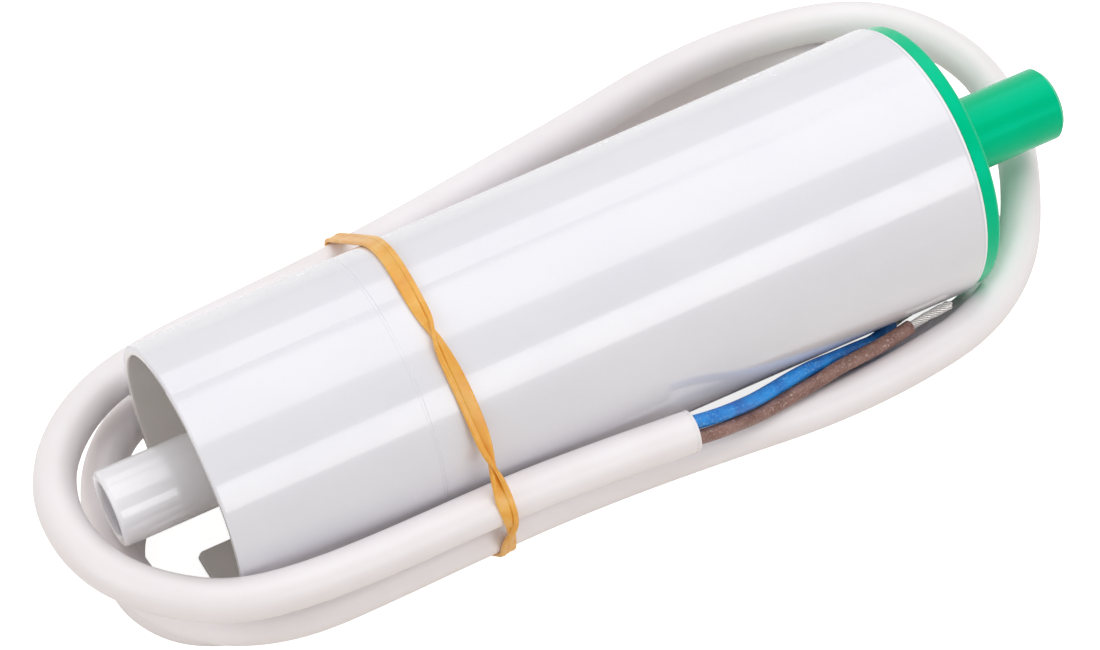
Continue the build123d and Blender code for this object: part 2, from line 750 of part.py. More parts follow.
# Route of the lead, from the grommet to the cut end of its sheath
cable_radius = cable_diameter / 2
cable_lead = 6.5
cable_route = [
    # Out of the grommet and down through the notch
    (grommet_tip_x, gland_y, gland_z),
    (grommet_tip_x - cable_lead, gland_y, gland_z),
    (-55.9, 9.4, 8.7),
    (-65.2, 9.6, 5.6),
    # Hook under the outlet spigot, down to the floor
    (-71.5, 5.0, 4.3),
    (-73.9, -2.4, 3.5),
    (-71.5, -9.8, 3.1),
    (-65.2, -14.4, 3.1),
    # First run along the front, on the floor
    (-55.9, -15.8, 3.2),
    (-39.8, -15.8, 3.7),
    (-23.8, -16.4, 4.0),
    (-7.8, -16.2, 3.3),
    (8.2, -16.4, 3.1),
    (24.2, -16.9, 3.1),
    (38.2, -17.0, 3.1),
    # Inner loop round the cap, on the floor
    (49.5, -17.2, 3.1),
    (59.3, -13.6, 3.1),
    (64.2, -4.6, 3.1),
    (65.8, 6.2, 3.1),
    (64.8, 17.6, 3.1),
    (60.2, 28.4, 3.1),
    (51.4, 36.8, 3.1),
    # First run along the back
    (38.7, 41.0, 3.1),
    (24.2, 39.6, 3.2),
    (9.2, 35.2, 3.9),
    (-5.8, 29.6, 5.7),
    (-19.8, 24.6, 7.9),
    (-32.8, 22.2, 9.0),
    (-44.8, 21.8, 8.8),
    (-55.3, 21.9, 8.5),
    # Inner loop under the outlet spigot
    (-63.8, 20.4, 8.6),
    (-69.6, 15.9, 9.6),
    (-73.7, 9.2, 10.3),
    (-75.4, 1.2, 10.5),
    (-74.7, -7.2, 11.1),
    (-71.8, -14.8, 11.9),
    (-66.0, -20.6, 12.9),
    # Second run along the front
    (-57.3, -23.9, 13.3),
    (-45.8, -23.9, 13.0),
    (-31.8, -23.3, 12.5),
    (-17.8, -22.6, 11.3),
    (-3.8, -22.1, 9.8),
    (10.2, -22.5, 8.1),
    (24.2, -23.5, 7.1),
    (37.7, -23.4, 7.6),
    # Outer loop under the inlet spigot
    (51.2, -22.3, 8.3),
    (61.6, -16.2, 8.9),
    (68.5, -6.8, 9.1),
    (73.8, 4.1, 8.5),
    (76.8, 16.0, 8.1),
    (74.6, 25.8, 8.1),
    (68.6, 33.9, 8.2),
    (58.8, 38.0, 8.9),
    # Second run along the back
    (46.2, 39.2, 9.7),
    (31.2, 38.3, 10.5),
    (16.2, 34.2, 12.5),
    (0.2, 29.8, 15.7),
    (-14.8, 26.0, 18.1),
    (-29.8, 23.4, 19.5),
    (-44.8, 23.0, 18.9),
    (-56.8, 23.2, 17.9),
    # Outer loop round the end of the outlet spigot
    (-67.0, 21.7, 16.5),
    (-75.0, 16.2, 16.7),
    (-79.6, 8.6, 17.9),
    (-80.9, -0.4, 19.5),
    (-78.9, -9.4, 20.9),
    (-73.6, -16.9, 21.9),
    (-66.3, -22.4, 22.4),
    # Last run along the front
    (-55.8, -23.8, 21.3),
    (-42.8, -23.7, 20.3),
    (-28.8, -23.4, 19.9),
    (-14.8, -23.5, 18.9),
    (2.0, -24.7, 18.1),
]


arc_share = 0.45


def corner_radii(route):
    """The radius at each corner of a route: a share of the shorter run over the tangent of half the turn."""
    radii = []
    for before, corner, after in zip(route, route[1:], route[2:]):
        arriving = Vector(corner) - Vector(before)
        leaving = Vector(after) - Vector(corner)
        half_turn = radians(arriving.get_angle(leaving)) / 2
        radii.append(arc_share * min(arriving.length, leaving.length) / tan(half_turn))
    return radii


cable_radii = corner_radii(cable_route)

with BuildPart() as power_cable:
    with BuildLine():
        cable_path = FilletPolyline(*cable_route, radius=cable_radii)
    with BuildSketch(Plane(origin=cable_path @ 0, z_dir=cable_path % 0)):
        Circle(cable_radius)
    sweep(path=cable_path)

finish(power_cable.part, "power_cable")

# Least gap of the cable to itself, measured on points one step apart and not along its own run
gap_step = 1.5
own_run = 6 * cable_diameter
sample_count = int(cable_path.length / gap_step)
samples = [cable_path @ (number / sample_count) for number in range(sample_count + 1)]
sample_points = [(point.X, point.Y, point.Z) for point in samples]
skip = int(own_run / gap_step)
least_gap = min(
    dist(sample_points[first], sample_points[second])
    for first in range(sample_count + 1)
    for second in range(first + skip, sample_count + 1)
) - cable_diameter
expected_volume = pi * cable_radius ** 2 * cable_path.length
print(f"cable length {cable_path.length:.1f}, least radius {min(cable_radii):.1f}, least gap {least_gap:.2f}")
print("cable radii", " ".join(f"{radius:.0f}" for radius in cable_radii))
print(f"cable volume {power_cable.part.volume:.0f}, section times length {expected_volume:.0f}")

# Cores: two insulated conductors out of the cut sheath, each with its bare strands
core_radius = core_diameter / 2
core_spacing = 1.1
sheath_end = cable_path @ 1
sheath_way = cable_path % 1
core_side = Vector(0, 0.77, 0.64)
core_across = (core_side - sheath_way * core_side.dot(sheath_way)).normalized()
blue_start = sheath_end + core_across * core_spacing
brown_start = sheath_end - core_across * core_spacing
core_lead = 4.0
core_routes = {
    "blue_core": [
        blue_start,
        blue_start + sheath_way * core_lead,
        Vector(15.0, -22.9, 15.6),
        Vector(23.5, -20.9, 12.9),
        Vector(32.0, -19.0, 10.4),
        Vector(40.0, -17.9, 8.4),
    ],
    "brown_core": [
        brown_start,
        brown_start + sheath_way * core_lead,
        Vector(14.5, -25.2, 14.2),
        Vector(24.0, -23.2, 13.0),
        Vector(32.5, -21.4, 12.1),
        Vector(40.7, -19.6, 11.3),
    ],
}
strand_lead = 1.5
strand_tips = {
    "blue_core": ("blue_strands", [Vector(44.5, -17.1, 7.4), Vector(48.0, -16.8, 7.2)]),
    "brown_core": ("brown_strands", [Vector(44.4, -19.3, 11.1), Vector(46.9, -19.3, 11.2)]),
}

for core_name, core_route in core_routes.items():
    with BuildPart() as core:
        with BuildLine():
            core_path = FilletPolyline(*core_route, radius=corner_radii(core_route))
        with BuildSketch(Plane(origin=core_path @ 0, z_dir=core_path % 0)):
            Circle(core_radius)
        sweep(path=core_path)
    finish(core.part, core_name)
    strands_name, strand_points = strand_tips[core_name]
    strands_route = [core_path @ 1, core_path @ 1 + core_path % 1 * strand_lead, *strand_points]
    with BuildPart() as strands:
        with BuildLine():
            strands_path = FilletPolyline(*strands_route, radius=corner_radii(strands_route))
        with BuildSketch(Plane(origin=strands_path @ 0, z_dir=strands_path % 0)):
            Circle(strand_diameter / 2)
        sweep(path=strands_path)
    finish(strands.part, strands_name)

# Rubber band: a flat band drawn tight round the barrel and every run of the lead
band_setback = 5.3
band_turn = 1.7
band_width = 2.4
band_thickness = 0.55
band_barrel_gap = 0.2
band_cable_gap = 0.34
band_x = seam_x + band_setback
band_barrel_radius = rim_radius + taper * (band_x - rim_x) / (barrel_end_x - rim_x)
band_plane = Plane(
    origin=(band_x, 0, axis_height),
    x_dir=(-sin(radians(band_turn)), cos(radians(band_turn)), 0),
    z_dir=(cos(radians(band_turn)), sin(radians(band_turn)), 0),
)
crossings = [
    band_plane.to_local_coords(point)
    for point, following in zip(samples, samples[1:])
    if band_plane.to_local_coords(point).Z * band_plane.to_local_coords(following).Z <= 0
]
front_low, back_low, front_middle, back_high, front_high = [
    (crossing.X, crossing.Y, cable_radius + band_cable_gap) for crossing in crossings
]
banded_barrel = (0, 0, band_barrel_radius + band_barrel_gap)
banded = [back_high, banded_barrel, front_high, front_middle, front_low, banded_barrel, back_low]


def taut_loop(circles, grown):
    """The face inside a band drawn round circles (x, y, radius), in order and each grown by a length."""
    leaving = []
    for (x, y, radius), (next_x, next_y, next_radius) in zip(circles, circles[1:] + circles[:1]):
        run = Vector(next_x - x, next_y - y)
        lean = degrees(acos((radius - next_radius) / run.length))
        leaving.append(degrees(atan2(run.Y, run.X)) - lean)
    with BuildSketch() as loop:
        with BuildLine():
            arcs = []
            for (x, y, radius), start, stop in zip(circles, leaving[-1:] + leaving[:-1], leaving):
                arcs.append(CenterArc((x, y), radius + grown, start, (stop - start) % 360))
            for arc, next_arc in zip(arcs, arcs[1:] + arcs[:1]):
                Line(arc @ 1, next_arc @ 0)
        make_face()
    return loop.sketch


with BuildPart() as rubber_band:
    with BuildSketch(band_plane.offset(-band_width / 2)):
        add(taut_loop(banded, band_thickness))
        add(taut_loop(banded, 0), mode=Mode.SUBTRACT)
    extrude(amount=band_width)

finish(rubber_band.part, "rubber_band")
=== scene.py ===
"""Inline water pump for a caravan: finishes, lead, rubber band and studio, in metres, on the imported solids."""

import json
import logging
import math
from dataclasses import dataclass, field
from enum import Enum
from typing import Iterable, Sequence

import bmesh
import bpy
from mathutils import Matrix, Vector

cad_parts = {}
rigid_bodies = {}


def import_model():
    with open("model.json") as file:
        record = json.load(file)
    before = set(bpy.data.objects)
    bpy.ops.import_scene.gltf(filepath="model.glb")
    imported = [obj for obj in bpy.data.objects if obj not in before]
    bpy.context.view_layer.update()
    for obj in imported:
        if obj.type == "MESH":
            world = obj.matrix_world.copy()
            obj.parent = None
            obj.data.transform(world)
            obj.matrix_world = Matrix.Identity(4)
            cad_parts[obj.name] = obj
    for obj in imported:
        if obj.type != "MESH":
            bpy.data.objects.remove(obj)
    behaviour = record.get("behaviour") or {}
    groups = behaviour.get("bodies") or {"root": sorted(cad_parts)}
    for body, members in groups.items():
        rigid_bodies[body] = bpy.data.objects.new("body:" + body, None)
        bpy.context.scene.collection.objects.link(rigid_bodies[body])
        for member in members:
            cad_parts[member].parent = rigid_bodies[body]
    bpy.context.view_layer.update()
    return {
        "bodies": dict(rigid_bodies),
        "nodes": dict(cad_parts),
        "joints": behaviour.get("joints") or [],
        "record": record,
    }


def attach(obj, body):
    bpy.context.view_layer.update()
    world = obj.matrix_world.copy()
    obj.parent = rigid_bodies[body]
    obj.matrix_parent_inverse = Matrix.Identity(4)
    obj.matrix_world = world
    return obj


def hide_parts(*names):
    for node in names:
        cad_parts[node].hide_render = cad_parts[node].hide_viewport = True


LOG = logging.getLogger("pump")
MM = 0.001
PUMP = "pump"
ROTOR = "rotor"
AXIS_HEIGHT = 20.5 * MM

Point = tuple[float, float, float]
Number = "Signal | float"


class Space(Enum):
    """The coordinates that a pattern is laid out in."""

    OBJECT = "Object"
    UV = "UV"


class Weave(Enum):
    """The directions that the fine lines of a finish can run in."""

    ROUND_AXIS = "X"
    ALONG_AXIS = "Y"


class Signal:
    """A number that varies over a surface, with the operators of plain arithmetic."""

    def __init__(self, nodes: "Nodes", socket: bpy.types.NodeSocket) -> None:
        """Keeps the socket and the nodes that it is one of."""
        self.nodes = nodes
        self.socket = socket

    def _maths(self, operation: str, first: Number, second: Number = 0.0) -> "Signal":
        """Adds one Math node.

        Args:
            operation: The node's operation.
            first: The first value.
            second: The second value.

        Returns:
            The node's result.
        """
        made = self.nodes.node("ShaderNodeMath", {"operation": operation}, {0: first, 1: second})
        return Signal(self.nodes, made.outputs[0])

    def __add__(self, other: Number) -> "Signal":
        """Returns the sum."""
        return self._maths("ADD", self, other)

    def __radd__(self, other: float) -> "Signal":
        """Returns the sum with a plain number on the left."""
        return self._maths("ADD", other, self)

    def __sub__(self, other: Number) -> "Signal":
        """Returns the difference."""
        return self._maths("SUBTRACT", self, other)

    def __rsub__(self, other: float) -> "Signal":
        """Returns the difference with a plain number on the left."""
        return self._maths("SUBTRACT", other, self)

    def __mul__(self, other: Number) -> "Signal":
        """Returns the product."""
        return self._maths("MULTIPLY", self, other)

    def __rmul__(self, other: float) -> "Signal":
        """Returns the product with a plain number on the left."""
        return self._maths("MULTIPLY", other, self)

    def __truediv__(self, other: Number) -> "Signal":
        """Returns the quotient."""
        return self._maths("DIVIDE", self, other)

    def __rtruediv__(self, other: float) -> "Signal":
        """Returns the quotient with a plain number on the left."""
        return self._maths("DIVIDE", other, self)

    def __pow__(self, other: Number) -> "Signal":
        """Returns the power."""
        return self._maths("POWER", self, other)

    def clamped(self) -> "Signal":
        """Returns the value held between 0 and 1."""
        return self._maths("MINIMUM", self._maths("MAXIMUM", self, 0.0), 1.0)

    def wave(self) -> "Signal":
        """Returns the sine of the value, brought to the range from 0 to 1."""
        return self._maths("SINE", self) * 0.5 + 0.5

    def above(self, edge: float, softness: float) -> "Signal":
        """Returns 0 below an edge and 1 above it, with a ramp of the given softness between."""
        return ((self - edge) / softness).clamped()


def linear(hex_colour: str) -> tuple[float, float, float, float]:
    """Turns a screen colour into the linear one that shaders use.

    Args:
        hex_colour: Six hexadecimal digits.

    Returns:
        Red, green, blue and an alpha of 1.
    """
    parts = [int(hex_colour[place : place + 2], 16) / 255 for place in (0, 2, 4)]
    red, green, blue = (part / 12.92 if part <= 0.04045 else ((part + 0.055) / 1.055) ** 2.4 for part in parts)
    return red, green, blue, 1.0


class Nodes:
    """The shader nodes of one material or of the world."""

    def __init__(self, owner: bpy.types.Material | bpy.types.World) -> None:
        """Empties the owner's nodes."""
        owner.use_nodes = True
        self.tree = owner.node_tree
        self.tree.nodes.clear()

    def node(self, kind: str, settings: dict | None = None, values: dict | None = None) -> bpy.types.Node:
        """Adds a node.

        Args:
            kind: The node's type.
            settings: Its settings, set first. The key stops holds the stops of a colour ramp.
            values: A number, colour or link for each input, by name or place.

        Returns:
            The node.
        """
        made = self.tree.nodes.new(kind)
        for name, setting in (settings or {}).items():
            if name == "stops":
                self._set_stops(made.color_ramp, setting)
            else:
                setattr(made, name, setting)
        for place, value in (values or {}).items():
            if isinstance(value, Signal):
                self.tree.links.new(value.socket, made.inputs[place])
            elif isinstance(value, bpy.types.NodeSocket):
                self.tree.links.new(value, made.inputs[place])
            else:
                made.inputs[place].default_value = value
        return made

    @staticmethod
    def _set_stops(ramp: bpy.types.ColorRamp, stops: Sequence[tuple[float, str]]) -> None:
        """Gives a colour ramp its stops.

        Args:
            ramp: The ramp.
            stops: The place and screen colour of each stop, from left to right.
        """
        while len(ramp.elements) < len(stops):
            ramp.elements.new(1.0)
        for element, (place, colour) in zip(ramp.elements, stops):
            element.position = place
            element.color = linear(colour)

    def blend(self, amount: Number, first: bpy.types.NodeSocket, second: bpy.types.NodeSocket) -> bpy.types.NodeSocket:
        """Mixes two shaders.

        Args:
            amount: The share of the second shader.
            first: A shader.
            second: A shader.

        Returns:
            The mixed shader.
        """
        return self.node("ShaderNodeMixShader", values={0: amount, 1: first, 2: second}).outputs[0]


class Surface(Nodes):
    """One material and the patterns, colours and relief that make it."""

    def __init__(self, name: str) -> None:
        """Starts an empty material."""
        self.material = bpy.data.materials.new(name)
        super().__init__(self.material)

    def place(
        self, space: Space = Space.OBJECT, scale: Point = (1.0, 1.0, 1.0), centre: Point = (0.0, 0.0, 0.0)
    ) -> bpy.types.NodeSocket:
        """Lays out a pattern.

        Args:
            space: The coordinates to read.
            scale: How much finer the pattern is on each axis.
            centre: The point that becomes the middle of the pattern.

        Returns:
            The coordinates.
        """
        read = self.node("ShaderNodeTexCoord")
        offset = [-middle * factor for middle, factor in zip(centre, scale)]
        values = {"Vector": read.outputs[space.value], "Location": offset, "Scale": scale}
        return self.node("ShaderNodeMapping", {"vector_type": "POINT"}, values).outputs["Vector"]

    def noise(
        self,
        size: float,
        detail: float = 2.0,
        rough: float = 0.5,
        stretch: Point = (1.0, 1.0, 1.0),
        space: Space = Space.OBJECT,
    ) -> Signal:
        """Adds soft noise.

        Args:
            size: The size of a patch in metres.
            detail: How many finer layers it has.
            rough: How strong the finer layers are.
            stretch: How much finer it is on each axis.
            space: The coordinates to read.

        Returns:
            A number about 0.5.
        """
        values = {"Vector": self.place(space, stretch), "Scale": 1 / size, "Detail": detail, "Roughness": rough}
        made = self.node("ShaderNodeTexNoise", {"noise_dimensions": "3D"}, values)
        return Signal(self, made.outputs["Fac"])

    def cells(self, size: float) -> Signal:
        """Adds a pattern of cells.

        Args:
            size: The size of a cell in metres.

        Returns:
            The distance from the middle of the cell.
        """
        made = self.node("ShaderNodeTexVoronoi", {"feature": "F1"}, {"Vector": self.place(), "Scale": 1 / size})
        return Signal(self, made.outputs["Distance"])

    def parts(
        self, space: Space = Space.OBJECT, centre: Point = (0.0, 0.0, 0.0)
    ) -> tuple[Signal, Signal, Signal]:
        """Returns the three coordinates, measured from a centre."""
        split = self.node("ShaderNodeSeparateXYZ", values={0: self.place(space, centre=centre)})
        x, y, z = (Signal(self, output) for output in split.outputs)
        return x, y, z

    def mix(self, amount: Number, first: object, second: object) -> bpy.types.NodeSocket:
        """Mixes two colours.

        Args:
            amount: The share of the second colour.
            first: A screen colour or a colour's socket.
            second: A screen colour or a colour's socket.

        Returns:
            The mixed colour.
        """
        ends = [linear(end) if isinstance(end, str) else end for end in (first, second)]
        made = self.node("ShaderNodeMix", {"data_type": "RGBA"}, {0: amount, 6: ends[0], 7: ends[1]})
        return made.outputs[2]

    def ramp(self, amount: Signal, stops: Sequence[tuple[float, str]]) -> bpy.types.NodeSocket:
        """Returns the colour of a ramp at a value."""
        return self.node("ShaderNodeValToRGB", {"stops": stops}, {0: amount}).outputs[0]

    def bump(
        self, height: Signal, depth: float, strength: float = 1.0, below: bpy.types.NodeSocket | None = None
    ) -> bpy.types.NodeSocket:
        """Adds relief.

        Args:
            height: The height, from 0 to 1.
            depth: The depth of the relief in metres.
            strength: How much of it shows.
            below: A coarser relief that this one lies on.

        Returns:
            The normal.
        """
        values = {"Height": height, "Distance": depth, "Strength": strength}
        if below is not None:
            values["Normal"] = below
        return self.node("ShaderNodeBump", values=values).outputs[0]

    def close(self, values: dict) -> bpy.types.Material:
        """Adds the shader and the output.

        Args:
            values: The inputs of the shader.

        Returns:
            The finished material.
        """
        shader = self.node("ShaderNodeBsdfPrincipled", values=values)
        self.node("ShaderNodeOutputMaterial", values={"Surface": shader.outputs[0]})
        return self.material


@dataclass(frozen=True)
class MouldedPlastic:
    """Injection-moulded plastic with a faint mottle, orange peel and the haze of handling. It can also carry painted
    light: a lighter, warmer colour inside a skirt, a lighter one on a spigot, and a painted highlight with a faint
    painted shade line at a rim.
    """

    name: str
    colour: str
    shade: str
    gloss: float = 0.16
    haze: float = 0.10
    peel: float = 0.006 * MM
    coat: float = 0.35
    glint: tuple[float, float, float] = (1.0, 1.0, 1.0)
    ior: float = 1.53
    mottle_size: float = 14 * MM
    flow_size: float = 5 * MM
    speck_size: float = 0.5 * MM
    mark_size: float = 2.6 * MM
    haze_size: float = 9 * MM
    peel_size: float = 1.3 * MM
    swell_size: float = 22 * MM
    swell_depth: float = 0.10 * MM
    # inside and spigot are painted light: lighter colours that stand in for bounced light inside the skirt and on the
    # spigot.
    inside: str = ""
    spigot: str = ""
    spigot_edge: tuple[float, float] = (6.0 * MM, 0.6 * MM)
    skirt_edge: tuple[float, float] = (18.1 * MM, 0.5 * MM)
    # rim sets where a painted highlight runs along the barrel's end edge; rim_line places a faint painted shade line
    # just inside it.
    rim: float = 0.0
    rim_line: tuple[float, float] = (0.3 * MM, 0.15 * MM)
    rim_blur: float = 0.1 * MM
    rim_painted_shade: str = "C4C5CB"
    rim_painted_highlight: str = "FAFAFC"

    def material(self) -> bpy.types.Material:
        """Returns the plastic's material."""
        surface = Surface(self.name)
        mottle = surface.noise(self.mottle_size, detail=3.0)
        flow = surface.noise(self.flow_size, detail=2.0, stretch=(0.15, 1.0, 1.0))
        specks = surface.noise(self.speck_size, detail=1.0)
        tone = (mottle * 0.6 + flow * 0.25 + specks * 0.15).above(0.36, 0.3)
        marks = surface.noise(self.mark_size, detail=3.0, rough=0.5).above(0.56, 0.2)
        haze = surface.noise(self.haze_size, detail=2.0).above(0.40, 0.3)
        peel = surface.noise(self.peel_size, detail=1.0)
        swell = surface.noise(self.swell_size, detail=0.0)
        relief = surface.bump(peel, self.peel, 0.5, surface.bump(swell, self.swell_depth, 0.2))
        colour = surface.mix(tone, self.shade, self.colour)
        # Painted light: inside the skirt the colour turns lighter and warmer, and on the spigot lighter, standing in
        # for bounced light.
        if self.inside:
            _, across, height = surface.parts(centre=(0.0, 0.0, AXIS_HEIGHT))
            radius = (across * across + height * height) ** 0.5
            inner_painted_light = surface.mix(radius.above(*self.spigot_edge), self.spigot, self.inside)
            colour = surface.mix(radius.above(*self.skirt_edge), inner_painted_light, colour)
        # Painted highlight on the rim's rounded edge, with a faint painted shade line just inside it.
        if self.rim:
            along, _, _ = surface.parts()
            start, end = (along.above(self.rim - ahead, self.rim_blur) for ahead in self.rim_line)
            with_painted_shade_line = surface.mix((start - end) * 0.5, colour, self.rim_painted_shade)
            colour = surface.mix(along.above(self.rim, self.rim_blur), with_painted_shade_line, self.rim_painted_highlight)
        return surface.close(
            {
                "Base Color": colour,
                "Roughness": haze * self.haze + marks * 0.04 + self.gloss,
                "IOR": self.ior,
                "Specular Tint": (*self.glint, 1.0),
                "Coat Weight": self.coat,
                "Coat Roughness": 0.08,
                "Normal": relief,
            }
        )


@dataclass(frozen=True)
class SoftVinyl:
    """Extruded soft plastic of a lead's sheath or core: satin, with faint waves and dust in the grain."""

    name: str
    colour: str
    shade: str
    roughness: float = 0.34
    grain: float = 0.35 * MM
    depth: float = 0.012 * MM
    soft: float = 0.08
    scatter: float = 0.8 * MM
    mottle_size: float = 18 * MM
    scuff_size: float = 2.4 * MM
    swell_size: float = 7 * MM
    swell_depth: float = 0.08 * MM

    def material(self) -> bpy.types.Material:
        """Returns the sheath's material."""
        surface = Surface(self.name)
        mottle = surface.noise(self.mottle_size, detail=3.0).above(0.38, 0.3)
        scuffs = surface.noise(self.scuff_size, detail=4.0, rough=0.65).above(0.60, 0.14)
        grain = surface.noise(self.grain, detail=2.0)
        swell = surface.noise(self.swell_size, detail=1.0)
        colour = surface.mix(scuffs * 0.35, surface.mix(mottle, self.shade, self.colour), self.shade)
        relief = surface.bump(grain, self.depth, 0.35, surface.bump(swell, self.swell_depth, 0.35))
        return surface.close(
            {
                "Base Color": colour,
                "Roughness": grain * 0.08 + scuffs * 0.12 + self.roughness,
                "IOR": 1.5,
                "Subsurface Weight": self.soft,
                "Subsurface Radius": (0.6, 0.5, 0.45),
                "Subsurface Scale": self.scatter,
                "Normal": relief,
            }
        )


@dataclass(frozen=True)
class SoftRubber:
    """Matt rubber with fine pores and a dry bloom."""

    name: str
    colour: str
    bloom: str
    roughness: float = 0.62
    pore: float = 0.25 * MM
    pore_depth: float = 0.02 * MM
    bloom_size: float = 3 * MM

    def material(self) -> bpy.types.Material:
        """Returns the rubber's material."""
        surface = Surface(self.name)
        bloom = surface.noise(self.bloom_size, detail=4.0, rough=0.6).above(0.48, 0.3)
        pores = surface.cells(self.pore)
        return surface.close(
            {
                "Base Color": surface.mix(bloom * 0.6, self.colour, self.bloom),
                "Roughness": bloom * 0.14 + self.roughness,
                "IOR": 1.52,
                "Normal": surface.bump(pores, self.pore_depth, 0.5),
            }
        )


@dataclass(frozen=True)
class DrawnRubber:
    """The amber rubber of a band: pulled thin and glossy, with lines along it and powder in the creases, and a painted
    highlight that pales the sides of each strip.
    """

    name: str
    colour: str
    deep: str
    pale: str
    line_width: float = 0.05
    line_depth: float = 0.05 * MM
    cloud_size: float = 4 * MM
    cloud_depth: float = 0.12 * MM
    powder_size: float = 0.6 * MM
    scatter: float = 0.9 * MM

    def material(self) -> bpy.types.Material:
        """Returns the band's material."""
        surface = Surface(self.name)
        across, _, _ = surface.parts(Space.UV)
        # edges is 1 in the middle of a strip and 0 at its sides, across its UV; (1 - edges) below paints a paler colour
        # towards the sides as a painted highlight.
        edges = (1 - (across - 0.5) * (across - 0.5) * 4).clamped()
        lines = surface.noise(self.line_width, detail=3.0, stretch=(1.0, 0.02, 1.0), space=Space.UV)
        cloud = surface.noise(self.cloud_size, detail=3.0, rough=0.6)
        powder = surface.noise(self.powder_size, detail=4.0, rough=0.7).above(0.56, 0.2)
        stops = ((0.25, self.deep), (0.5, self.colour), (0.78, self.pale))
        tone = surface.ramp((cloud * 0.7 + lines * 0.5 - 0.1).clamped(), stops)
        colour = surface.mix(powder * 0.22 + (1 - edges) * 0.15, tone, self.pale)
        relief = surface.bump(lines, self.line_depth, 0.5, surface.bump(cloud, self.cloud_depth, 0.3))
        return surface.close(
            {
                "Base Color": colour,
                "Roughness": powder * 0.25 + 0.33,
                "IOR": 1.52,
                "Subsurface Weight": 0.3,
                "Subsurface Radius": (1.0, 0.55, 0.15),
                "Subsurface Scale": self.scatter,
                "Normal": relief,
            }
        )


@dataclass(frozen=True)
class WorkedMetal:
    """Bare or plated metal with the fine lines of drawing or turning, and a little tarnish."""

    name: str
    colour: str
    tarnish: str
    roughness: float = 0.28
    lines: Weave = Weave.ROUND_AXIS
    pitch: float = 0.12 * MM
    line_depth: float = 0.006 * MM
    tarnish_size: float = 4 * MM

    def material(self) -> bpy.types.Material:
        """Returns the metal's material."""
        surface = Surface(self.name)
        stretch = (1.0, 0.03, 0.03) if self.lines is Weave.ROUND_AXIS else (0.03, 1.0, 1.0)
        brushed = surface.noise(self.pitch, detail=3.0, stretch=stretch)
        tarnish = surface.noise(self.tarnish_size, detail=4.0, rough=0.6).above(0.52, 0.25)
        return surface.close(
            {
                "Base Color": surface.mix(tarnish * 0.6, self.colour, self.tarnish),
                "Metallic": 1 - tarnish * 0.15,
                "Roughness": brushed * 0.14 + tarnish * 0.16 + self.roughness - 0.07,
                "Normal": surface.bump(brushed, self.line_depth, 0.5),
            }
        )


@dataclass(frozen=True)
class StackedSteel:
    """A pack of thin steel sheets seen from the side, with dark lines between them."""

    name: str
    colour: str
    line: str
    sheet: float = 0.5 * MM
    sheet_relief: float = 0.05 * MM
    stain_size: float = 2 * MM

    def material(self) -> bpy.types.Material:
        """Returns the pack's material."""
        surface = Surface(self.name)
        x, _, _ = surface.parts()
        ridge = (x * (2 * math.pi / self.sheet)).wave()
        seam = 1 - ridge.above(0.06, 0.12)
        stains = surface.noise(self.stain_size, detail=3.0).above(0.50, 0.2)
        return surface.close(
            {
                "Base Color": surface.mix(seam * 0.8 + stains * 0.2, self.colour, self.line),
                "Metallic": 1 - seam * 0.5,
                "Roughness": stains * 0.15 + 0.38,
                "Normal": surface.bump(ridge, self.sheet_relief, 0.5),
            }
        )


@dataclass(frozen=True)
class DullMineral:
    """Pressed and ground material, such as a ferrite magnet or a carbon brush."""

    name: str
    colour: str
    dust: str
    roughness: float = 0.55
    metallic: float = 0.0
    grit_size: float = 0.25 * MM
    grit_depth: float = 0.03 * MM
    chip_size: float = 1.6 * MM

    def material(self) -> bpy.types.Material:
        """Returns the material."""
        surface = Surface(self.name)
        grit = surface.noise(self.grit_size, detail=4.0, rough=0.7)
        chips = surface.noise(self.chip_size, detail=3.0).above(0.60, 0.1)
        return surface.close(
            {
                "Base Color": surface.mix((grit * 0.5 + chips * 0.4).clamped(), self.colour, self.dust),
                "Metallic": self.metallic,
                "Roughness": grit * 0.2 + self.roughness - 0.1,
                "Normal": surface.bump(grit, self.grit_depth, 0.5),
            }
        )


@dataclass(frozen=True)
class EnamelledWire:
    """Copper wire with its clear amber enamel."""

    name: str
    colour: str
    deep: str
    enamel_size: float = 1.8 * MM
    enamel_depth: float = 0.01 * MM

    def material(self) -> bpy.types.Material:
        """Returns the wire's material."""
        surface = Surface(self.name)
        enamel = surface.noise(self.enamel_size, detail=3.0).above(0.40, 0.3)
        return surface.close(
            {
                "Base Color": surface.mix(enamel, self.deep, self.colour),
                "Metallic": 0.85,
                "Roughness": enamel * 0.1 + 0.22,
                "Coat Weight": 0.6,
                "Coat Roughness": 0.12,
                "Normal": surface.bump(enamel, self.enamel_depth, 0.3),
            }
        )


